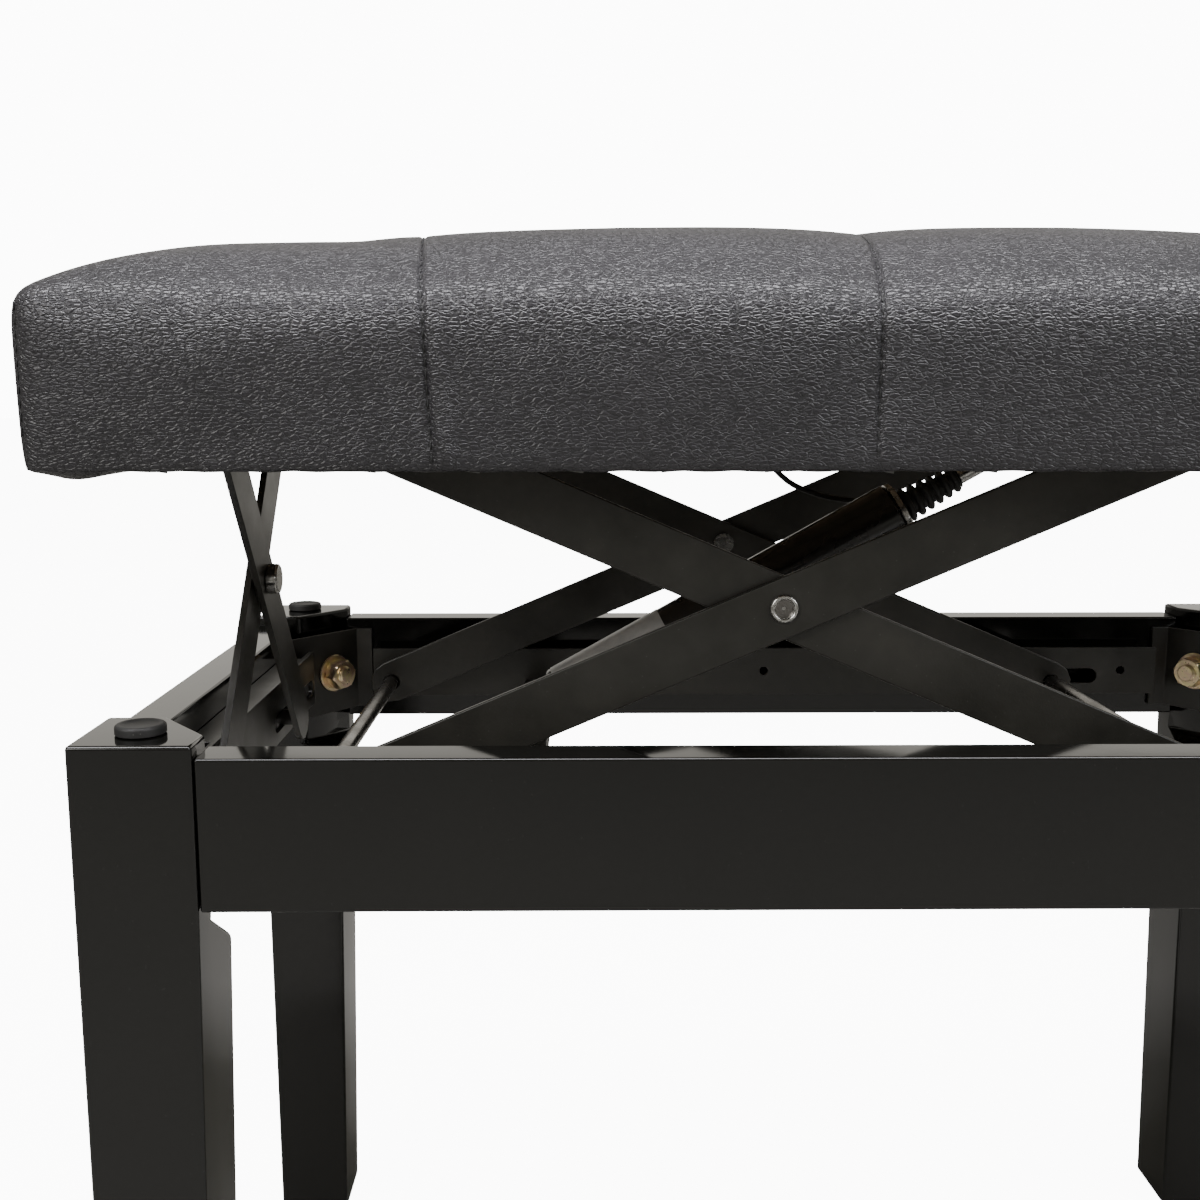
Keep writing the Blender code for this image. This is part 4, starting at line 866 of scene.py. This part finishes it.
# swells a remeshed copy of the cover between its seams and passes the movement on
def simulated(piece, bottom):
    before, _ = vertexArrays(piece.data)
    work = bmesh.new()
    work.from_mesh(piece.data)
    bmesh.ops.holes_fill(work, edges=[edge for edge in work.edges if edge.is_boundary])
    mesh = bpy.data.meshes.new("swelling")
    work.to_mesh(mesh)
    work.free()
    copy = linked("swelling", mesh)
    even = copy.modifiers.new("even", "REMESH")
    even.mode = "VOXEL"
    even.voxel_size = cover["voxel"]
    baked(copy)
    start, _ = vertexArrays(copy.data)
    group = copy.vertex_groups.new(name="held")
    away = np.min(np.abs(start[:, :1] - np.array(cover["seams"])[None, :]), axis=1)
    for index in range(len(start)):
        if start[index, 2] < bottom + cover["heldRim"]:
            group.add([index], 1.0, "REPLACE")
        elif away[index] < cover["heldSeam"]:
            group.add([index], 0.7, "REPLACE")
    cloth = copy.modifiers.new("fabric", "CLOTH")
    cloth.settings.use_pressure = True
    cloth.settings.uniform_pressure_force = cover["pressure"]
    cloth.settings.vertex_group_mass = "held"
    cloth.settings.effector_weights.gravity = 0
    for number in range(1, cover["frames"] + 1):
        bpy.context.scene.frame_set(number)
    graph = bpy.context.evaluated_depsgraph_get()
    after = np.array([vertex.co for vertex in copy.evaluated_get(graph).data.vertices])
    bpy.data.objects.remove(copy)
    bpy.context.scene.frame_set(1)
    moved = after - start
    length = np.linalg.norm(moved, axis=1)
    typical = float(np.percentile(length, 90))
    share = cover["puff"] / np.maximum(length, max(typical, 1e-6))
    tree = KDTree(len(start))
    for index, place in enumerate(start):
        tree.insert(place, index)
    tree.balance()
    settled = before.copy()
    for index, place in enumerate(before):
        near = tree.find_n(place, 6)
        weights = np.array([1 / (distance + 0.001) for _, _, distance in near])
        found = [other for _, other, _ in near]
        shift = (moved[found] * share[found][:, None] * weights[:, None]).sum(axis=0)
        settled[index] += shift / weights.sum()
    piece.data.vertices.foreach_set("co", settled.astype(np.float32).ravel())
    piece.data.update()
    print(f"cover simulated: {typical * 1000:.1f} mm lift, scaled to {cover['puff'] * 1000:.1f} mm")


def vertexArrays(mesh):
    count = len(mesh.vertices)
    places = np.zeros(count * 3, np.float32)
    mesh.vertices.foreach_get("co", places)
    normals = np.zeros(count * 3, np.float32)
    mesh.vertex_normals.foreach_get("vector", normals)
    return places.reshape(-1, 3).astype(float), normals.reshape(-1, 3).astype(float)


# how far the panels' edges wander sideways, as sewn
def seamDrift(x, y, z, bottom, halfX, halfY):
    up = np.clip((z - bottom) / (cover["edgeZ"] - bottom), 0, 1)
    steps = (-halfY, -halfY / 2, halfY)
    total = np.zeros_like(x)
    ends = [-halfX, *cover["seams"], halfX]
    for index, (hem, roll, third, back) in enumerate(cover["seamDrift"]):
        share = np.interp(x, ends[index:index + 3], (0, 1, 0))
        total += share * (hem + (np.interp(y, steps, (roll, third, back)) - hem) * up)
    return total


def seatCover():
    piece, seams, corners, bottom = coverShell()
    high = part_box("seat_cushion")[1]
    halfX, halfY = high.x, high.y
    simulated(piece, bottom)
    rounder = piece.modifiers.new("rounder", "SUBSURF")
    rounder.levels = 1
    rounder.render_levels = 1
    baked(piece)
    places, normals = vertexArrays(piece.data)
    x, y, z = places.T
    away = np.abs(x[:, None] - np.array(cover["seams"])[None, :])
    near = np.min(away, axis=1)
    seamDip = np.array(cover["seamDip"])[np.argmin(away, axis=1)]
    facing = np.clip(np.abs(normals[:, 2]) * 1.3, 0, 1)
    frontBack = np.clip((np.abs(normals[:, 1]) + np.abs(normals[:, 2])) * 1.2, 0, 1)
    dip = cover["sideDip"] + (seamDip - cover["sideDip"]) * facing
    clear = np.clip((z - bottom - 0.006) / 0.020, 0, 1)  # no dip where the battens are close
    push = -dip * np.exp(-near / cover["seamReach"]) * clear
    deep = cover["groove"] * clear
    push -= deep * np.exp(-((near / cover["grooveReach"]) ** 2)) * frontBack
    middle, reach, depth = cover["sag"]
    push -= depth * np.exp(-(((x - middle) / reach) ** 2)) * facing * clear
    for place in cover["seams"]:  # the folded allowance lies to the right of each seam
        aside = x - place - 0.0048
        strength = 1.0 if place < -0.1 else 0.35
        rise = np.clip((cover["edgeZ"] + 0.004 - z) / 0.05, 0.15, 1)
        ridge = np.exp(-((aside / 0.0036) ** 6)) * (1 - facing) * rise
        push += cover["allowance"] * strength * ridge
    angleX = np.abs(x) - (halfX - cover["corner"])
    angleY = np.abs(y) - (halfY - cover["corner"])
    inCorner = (angleX > 0) & (angleY > 0)
    across = np.where(inCorner, (angleX - angleY) / 1.4142, 1.0)
    below = np.clip((cover["edgeZ"] - 0.002 - z) / 0.004, 0, 1)
    push -= cover["cornerGroove"] * np.exp(-((across / 0.0010) ** 2)) * below * inCorner
    ripple = np.array([
        noise.noise(Vector((px * 14, py * 22, pz * 22))) for px, py, pz in places
    ])
    push += cover["ripple"] * ripple * np.clip((z - bottom) / 0.01, 0, 1)
    places += normals * push[:, None]
    tuck = np.clip((bottom + 0.010 - z) / 0.010, 0, 1)  # the last centimetre is pulled under
    wave = np.sin(x * 210 + 1.3 * np.sin(x * 77)) * cover["wave"]
    places[:, 2] += wave * tuck
    places[:, 0] += seamDrift(x, y, z, bottom, halfX, halfY)
    piece.data.vertices.foreach_set("co", places.astype(np.float32).ravel())
    piece.data.update()
    stitchLines = []
    _, normals = vertexArrays(piece.data)
    for line in seams + corners:
        keep = [index for index in line if places[index][2] > bottom + 0.004]
        if line in corners:
            keep = [index for index in keep if places[index][2] < cover["edgeZ"] - 0.003]
        stitchLines.append([places[index] + normals[index] * cover["stitchLift"] for index in keep])
    closeCover(piece, bottom)
    piece.data.shade_smooth()
    finishWith(piece, leather)
    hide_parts("seat_cushion")
    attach(piece, "seat")
    rowOf("seam_stitches", stitchLines, {
        "Pitch": cover["stitchPitch"], "Size": cover["stitchSize"], "Unevenness": 0.07,
        "Seed": 7, "Finish": thread,
    }, "seat")
    staples(bottom, halfX, halfY)
    print("seat cover made,", len(piece.data.vertices), "points")


# turns the rim under the battens as a hem and lines the inside, so the cover is closed
def closeCover(piece, bottom):
    work = bmesh.new()
    work.from_mesh(piece.data)
    rimEdges = [edge for edge in work.edges if edge.is_boundary]
    start = rimEdges[0].verts[0]
    order = [start]
    edge = rimEdges[0]
    while True:
        after = edge.other_vert(order[-1])
        if after is start:
            break
        order.append(after)
        edge = next(e for e in after.link_edges if e.is_boundary and e is not edge)
    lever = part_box("release_lever")
    leverFrom = lever[0].y - cover["leverGap"]
    leverTo = lever[1].y + cover["leverGap"]
    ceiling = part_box("seat_board")[1].z + 0.0002
    rings = (  # inset, height, whether the ring belongs to the hem's underside
        (0.0016, bottom - 0.0003, True),
        (0.0050, bottom - 0.0004, True),
        (0.0085, bottom - 0.0003, True),
        (cover["hem"] - 0.001, bottom - 0.0001, True),
        (cover["hem"], bottom + cover["hemThick"] / 2, True),
        (cover["hem"] - 0.001, bottom + cover["hemThick"], False),
        (cover["wall"], bottom + cover["hemThick"] + 0.0001, False),
        (cover["wall"], ceiling, False),
    )
    rimPlaces = [vertex.co.copy() for vertex in order]
    reachX = max(abs(place.x) for place in rimPlaces)
    reachY = max(abs(place.y) for place in rimPlaces)
    last = order
    for inset, height, under in rings:
        ring = []
        for place in rimPlaces:
            used = inset
            if place.x > 0 and leverFrom < place.y < leverTo:
                used = min(inset, cover["wall"])
            x = place.x * (reachX - used) / reachX
            y = place.y * (reachY - used) / reachY
            z = height
            if under:
                sag = math.exp(-(((abs(x) - cover["foldX"]) / cover["foldReach"]) ** 2))
                sag *= math.exp(-(((used - 0.0062) / 0.0052) ** 2))
                sag *= 1 if abs(place.y) > reachY - 0.006 else 0
                side = 1.0 if x < 0 else 0.7
                z -= cover["fold"] * sag * side
                z += 0.0002 * math.sin(place.x * 330 + place.y * 410)
            ring.append(work.verts.new((x, y, z)))
        for index in range(len(ring)):
            after = (index + 1) % len(ring)
            work.faces.new((last[index], last[after], ring[after], ring[index]))
        last = ring
    work.faces.new(last)
    bmesh.ops.recalc_face_normals(work, faces=work.faces)
    work.to_mesh(piece.data)
    work.free()


# staples that hold the hem under the battens
def staples(bottom, halfX, halfY):
    inX = halfX - cover["taper"] - cover["stapleInset"]
    inY = halfY - cover["taper"] - cover["stapleInset"]
    z = bottom - 0.0003
    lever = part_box("release_lever")
    lines = []
    for side in (-1, 1):
        lines.append([(-inX + 0.03, side * inY, z), (inX - 0.03, side * inY, z)])
    lines.append([(-inX, -inY + 0.03, z), (-inX, inY - 0.03, z)])
    lines.append([(inX, lever[1].y + 0.015, z), (inX, inY - 0.03, z)])
    rowOf("hem_staples", lines, {
        "Pitch": cover["staplePitch"], "Size": cover["stapleSize"], "Square": True,
        "Unevenness": 0.18, "Seed": 3, "Finish": staplesWire,
    }, "seat")


seatCover()


for corner in cornerNames:
    refined("leg_" + corner, lacquer)
for side in ("front", "back", "left", "right"):
    refined("rail_" + side, lacquer, 0.0004, 2)
print("wooden frame finished")

bumperShape = {"radius": 0.00925, "height": 0.0037, "lip": 0.0012, "dish": 0.00035}


def bumpers():
    shape = bumperShape
    radius, height = shape["radius"], shape["height"]
    profile = [(0, 0), (0, radius - 0.0003), (0.0003, radius)]
    for step in range(7):
        turn = math.radians(90 * step / 6)
        profile.append((
            height - shape["lip"] + shape["lip"] * math.sin(turn),
            radius - shape["lip"] + shape["lip"] * math.cos(turn),
        ))
    profile += [
        (height, radius * 0.76),
        (height - shape["dish"], radius * 0.68),
        (height - shape["dish"], 0),
    ]
    for corner in cornerNames:
        low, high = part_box("bumper_" + corner)
        base = ((low.x + high.x) / 2, (low.y + high.y) / 2, low.z)
        name = "bumper_" + corner + "_pad"
        piece = linked(name, lathe(profile, base, (0, 0, 1), 48, 40, name))
        finishWith(piece, rubber)
        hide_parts("bumper_" + corner)
        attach(piece, "base")


bumpers()


boltShape = {
    "stud": 0.0050,
    "washer": 0.0105,
    "washerThick": 0.0015,
    "flats": 0.0150,  # across the nut's flats
    "nut": 0.0080,
    "proud": 0.0020,
    "pitch": 0.0010,
}


# hexagon with chamfered ends, from base along direction
def hexNut(base, direction, flats, height, bore):
    along = Vector(direction).normalized()
    across = along.orthogonal().normalized()
    third = along.cross(across)
    sides = 48
    outerRadius = flats / 2 / math.cos(math.pi / 6)
    levels = []
    for distance, cap in (
        (0, flats / 2), (height * 0.10, outerRadius),
        (height * 0.90, outerRadius), (height, flats / 2),
    ):
        ring = []
        for index in range(sides):
            turn = math.tau * index / sides
            inSector = (turn + math.pi / 6) % (math.pi / 3) - math.pi / 6
            radius = min(flats / 2 / math.cos(inSector), cap)
            ring.append(Vector(base) + along * distance
                        + (across * math.cos(turn) + third * math.sin(turn)) * radius)
        levels.append(ring)
    for distance, radius in ((height, bore), (0, bore)):
        ring = []
        for index in range(sides):
            turn = math.tau * index / sides
            ring.append(Vector(base) + along * distance
                        + (across * math.cos(turn) + third * math.sin(turn)) * radius)
        levels.append(ring)
    points = [point for ring in levels for point in ring]
    faces = []
    for level in range(len(levels)):
        after = (level + 1) % len(levels)
        for index in range(sides):
            beside = (index + 1) % sides
            faces.append((level * sides + index, level * sides + beside,
                          after * sides + beside, after * sides + index))
    return meshOf("nut", points, faces, 28)


def joined(name, meshes, finish):
    work = bmesh.new()
    for mesh in meshes:
        work.from_mesh(mesh)
    mesh = bpy.data.meshes.new(name)
    work.to_mesh(mesh)
    work.free()
    return finishWith(linked(name, mesh), finish)


def cornerBolts():
    shape = boltShape
    for corner, signX, signY in (
        ("front_left", -1, -1), ("front_right", 1, -1), ("back_left", -1, 1), ("back_right", 1, 1),
    ):
        node = "corner_bolt_" + corner
        points, _ = vertexArrays(nodes[node].data)
        centre = points.mean(axis=0)
        spread = np.linalg.svd(points - centre, full_matrices=False)[2]
        inward = np.array([-signX, -signY, 0.0])
        axis = max(spread, key=lambda row: abs(row @ inward) - 5 * abs(row[2]))
        axis = axis * np.sign(axis @ inward)
        axis[2] = 0
        axis /= np.linalg.norm(axis)
        along = points @ axis
        tip = along.max()
        middle = (points.max(axis=0) + points.min(axis=0)) / 2
        line = middle - axis * (middle @ axis)
        stack = tip - shape["proud"] - shape["nut"]
        start = along.min()
        profile = [(start, 0), (start, shape["stud"])]
        ridge = tip - 0.006
        while ridge < tip - shape["pitch"]:
            profile.append((ridge, shape["stud"]))
            profile.append((ridge + shape["pitch"] / 2, shape["stud"] - 0.0006))
            ridge += shape["pitch"]
        profile += [(tip - 0.0006, shape["stud"] - 0.0002), (tip, shape["stud"] - 0.0009), (tip, 0)]
        stud = lathe(profile, line, axis, 32, 30)
        plate = shape["washerThick"]
        inner, outer = shape["stud"] + 0.0002, shape["washer"]
        washer = latheRing([
            (stack - plate, inner), (stack - plate, outer - 0.0002),
            (stack - plate + 0.0002, outer), (stack - 0.0004, outer),
            (stack, outer - 0.0004), (stack, inner),
        ], line, axis, 48, 35)
        nutBase = Vector(line) + Vector(axis) * stack
        nut = hexNut(nutBase, axis, shape["flats"], shape["nut"], shape["stud"] + 0.0001)
        piece = joined("corner_fixing_" + corner, [stud, washer, nut], zinc)
        piece.data.shade_smooth()
        piece.data.set_sharp_from_angle(angle=math.radians(28))
        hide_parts(node)
        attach(piece, "base")


cornerBolts()
print("corner fixings made")


channelHoles = {
    "along": (-0.2049, -0.0010, 0.2055),  # places of the fixing holes along the width
    "above": 0.0033,  # from the pivots up to the holes in the web
    "inFloor": 0.0075,  # from the web to the holes in the floor
    "radius": 0.0024,
}


def channels():
    shape = channelHoles
    radius = shape["radius"]
    rowZ = joints["lift"]["pos_m"][2] + shape["above"]
    for side, sign in (("front", -1), ("back", 1)):
        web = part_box("base_channel_" + side)
        webY = web[0].y if sign > 0 else web[1].y
        holes = []
        for place in shape["along"][1:]:
            holes.append(((place, webY, rowZ), (0, 1, 0), radius))
        if sign > 0:
            floorZ = web[0].z
            for place in shape["along"]:
                spot = (place, webY + sign * shape["inFloor"], floorZ)
                holes.append((spot, (0, 0, 1), radius))
        refined("base_channel_" + side, steel, 0.0005, 2, holes)
        refined("seat_channel_" + side, steel, 0.0005, 2)
    for side in ("left", "right"):
        refined("base_channel_" + side, steel, 0.0004, 2)
        refined("seat_plate_" + side, steel, 0.0004, 2)
    for corner in cornerNames:
        refined("corner_bracket_" + corner, steel, 0.0005, 2)
    for node in ("gas_crossbar", "gas_bracket", "lever_bracket"):
        refined(node, steel, 0.0004, 2)


channels()
print("channels and brackets finished")


for side in ("front", "back"):
    for way in ("rising", "falling"):
        refined(f"lift_arm_{way}_{side}", steel, 0.0007, 3)
for side in ("left", "right"):
    for way in ("rising", "falling"):
        refined(f"side_arm_{way}_{side}", steel, 0.0005, 2)
for level in ("lower", "upper"):
    for kind in ("fixed", "sliding"):
        refined(f"shaft_{level}_{kind}", shaftSteel)

rivetShape = {
    "ring": 0.0056,
    "recess": 0.0036,
    "lip": 0.0012,
    "deep": 0.0016,
    "pip": 0.0011,
    "flange": 0.0012,
    "body": 0.0038,
}


# tubular rivets: a flared bright ring round a dark recess
def rivets():
    shape = rivetShape
    for side, sign in (("front", -1), ("back", 1)):
        low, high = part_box("scissor_rivet_" + side)
        middle = ((low.x + high.x) / 2, 0, (low.z + high.z) / 2)
        face = (high.y if sign > 0 else -low.y) - 0.0014
        inner = (low.y if sign > 0 else -high.y)
        flangeEnd = inner + shape["flange"]
        profile = [(inner, 0), (inner, shape["ring"]), (flangeEnd, shape["ring"]),
                   (flangeEnd, shape["body"]), (face, shape["body"]), (face, shape["ring"])]
        for step in range(7):
            turn = math.radians(180 * step / 6)
            span = (shape["ring"] - shape["recess"]) / 2
            profile.append((
                face + 0.0003 + shape["lip"] * math.sin(turn),
                shape["recess"] + span + span * math.cos(turn),
            ))
        profile += [
            (face - shape["deep"], shape["recess"] - 0.0003),
            (face - shape["deep"], shape["pip"]),
            (face - shape["deep"] + 0.0006, shape["pip"] * 0.7),
            (face - shape["deep"] + 0.0006, 0),
        ]
        name = "scissor_rivet_" + side + "_bright"
        piece = linked(name, lathe(profile, middle, (0, sign, 0), 48, 40, name))
        finishWith(piece, chrome)
        low, high = face - shape["deep"] + 0.00005, face - shape["deep"] + 0.0002
        rim = shape["recess"] - 0.0002
        core = linked("rivet_recess_" + side, lathe(
            [(low, 0), (low, rim), (high, rim), (high, 0)], middle, (0, sign, 0), 32, 40, "recess"
        ))
        finishWith(core, shaftSteel)
        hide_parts("scissor_rivet_" + side)
        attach(piece, "lift_rising")
        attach(core, "lift_rising")
    for side in ("left", "right"):
        refined("side_rivet_" + side, chrome, 0.0003, 2)


rivets()
print("scissors finished")


springShape = {
    "length": 0.30276,  # between its two pins
    "radius": 0.0140,
    "shoulder": 0.0032,
    "eyeReach": 0.0149,
    "endBack": 0.10576,  # from the rod's pin back to the cylinder's end
    "collar": 0.0035,
    "boot": 0.029,
    "ribs": 6,
    "crest": (0.0086, 0.0004),  # first rib's radius, and what each next one loses
    "waist": (0.0060, 0.0003),
    "bore": 0.0046,
    "label": (0.0190, 0.0770),  # along the cylinder
    "labelTurn": (-100, 62),  # degrees about the cylinder
}


def springAxis():
    base = Vector(joints["gas_tilt"]["pos_m"])
    direction = Vector(joints["gas_stroke"]["axis"]).normalized()
    return base, direction


def gasSpring():
    shape = springShape
    base, direction = springAxis()
    end = shape["length"] - shape["endBack"]
    bore = shape["bore"]
    radius = shape["radius"]
    profile = [(shape["eyeReach"] - 0.002, 0), (shape["eyeReach"] - 0.002, 0.0048)]
    profile.append((shape["eyeReach"], 0.0060))
    for step in range(8):
        turn = math.radians(90 * step / 7)
        profile.append((
            shape["eyeReach"] + shape["shoulder"] * (1 - math.cos(turn)),
            radius - shape["shoulder"] + shape["shoulder"] * math.sin(turn),
        ))
    profile += [(end - 0.0012, radius), (end - 0.0004, radius - 0.0004), (end, radius - 0.0012)]
    profile += [(end, bore), (end - 0.004, bore), (end - 0.004, 0)]
    tube = lathe(profile, base, direction, 64, 30)
    eye = latheRing([(-0.0048, 0.0034), (-0.0050, 0.0076), (-0.0046, 0.0080), (0.0046, 0.0080),
                     (0.0050, 0.0076), (0.0048, 0.0034)], base, (0, 1, 0), 40, 35)
    neckProfile = [(0.0065, 0), (0.0065, 0.0042), (0.0150, 0.0046), (0.0150, 0)]
    neck = lathe(neckProfile, base, direction, 24, 30)
    piece = joined("gas_cylinder_body", [tube, eye, neck], tubePaint)
    piece.data.shade_smooth()
    piece.data.set_sharp_from_angle(angle=math.radians(32))
    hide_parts("gas_cylinder")
    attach(piece, "gas_cylinder_body")
    start = end + 0.0003
    collarEnd = start + shape["collar"]
    collar = linked("gas_collar_bright", latheRing([
        (start, bore), (start, radius - 0.0010), (start + 0.0005, radius - 0.0004),
        (collarEnd - 0.0006, radius - 0.0010), (collarEnd, radius - 0.0020), (collarEnd, bore),
    ], base, direction, 64, 35, "collar"))
    finishWith(collar, chrome)
    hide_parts("gas_collar")
    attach(collar, "gas_cylinder_body")
    rodBoot(base, direction, collarEnd + 0.0003)
    gasLabel(base, direction)


# rubber bellows with rounded ribs that shrink towards the tip
def rodBoot(base, direction, start):
    shape = springShape
    bore = shape["bore"]
    profile = [(start, bore), (start, 0.0072)]
    pitch = shape["boot"] / shape["ribs"]
    for rib in range(shape["ribs"]):
        ridge = start + pitch * (rib + 0.5)
        crest = shape["crest"][0] - shape["crest"][1] * rib
        waist = shape["waist"][0] - shape["waist"][1] * rib
        for step in range(-3, 4):
            turn = step / 3 * math.pi / 2
            profile.append((
                ridge + pitch * 0.34 * math.sin(turn),
                waist + (crest - waist) * math.cos(turn),
            ))
    end = start + shape["boot"]
    profile += [(end - 0.0002, 0.0052), (end, 0.0050), (end, bore)]
    piece = linked("rod_boot_rubber", latheRing(profile, base, direction, 40, 50, "boot"))
    finishWith(piece, rubber)
    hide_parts("rod_boot")
    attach(piece, "gas_cylinder_body")


# blank foil label wrapped round part of the cylinder
def gasLabel(base, direction):
    shape = springShape
    side = Vector((0, -1, 0))
    upward = direction.cross(side).normalized()
    steps = 24
    first, last = shape["labelTurn"]
    points = []
    for radius in (shape["radius"] + 0.00004, shape["radius"] + 0.00022):
        for distance in shape["label"]:
            for step in range(steps + 1):
                turn = math.radians(first + (last - first) * step / steps)
                around = side * math.cos(turn) + upward * math.sin(turn)
                points.append(base + direction * distance + around * radius)
    row = steps + 1
    faces = []
    for step in range(steps):
        faces.append((step, step + 1, row + step + 1, row + step))
        faces.append((
            2 * row + step, 3 * row + step, 3 * row + step + 1, 2 * row + step + 1,
        ))
        faces.append((step, 2 * row + step, 2 * row + step + 1, step + 1))
        faces.append((row + step, row + step + 1, 3 * row + step + 1, 3 * row + step))
    faces.append((0, row, 3 * row, 2 * row))
    faces.append((row - 1, 3 * row - 1, 4 * row - 1, 2 * row - 1))
    piece = linked("gas_label", meshOf("gas_label", points, faces, 30))
    finishWith(piece, labelFoil)
    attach(piece, "gas_cylinder_body")


gasSpring()
refined("gas_rod", chrome, 0.0)
refined("release_head", plastic, 0.0005, 2)
refined("release_lever", plastic, 0.0003, 2)
refined("release_cable", plastic, 0.0)
print("gas spring and release made")


for node in (
    "seat_board", "seat_batten_front", "seat_batten_back", "seat_batten_left", "seat_batten_right",
):
    refined(node, wood, 0.0005, 2)
print("battens and board finished")
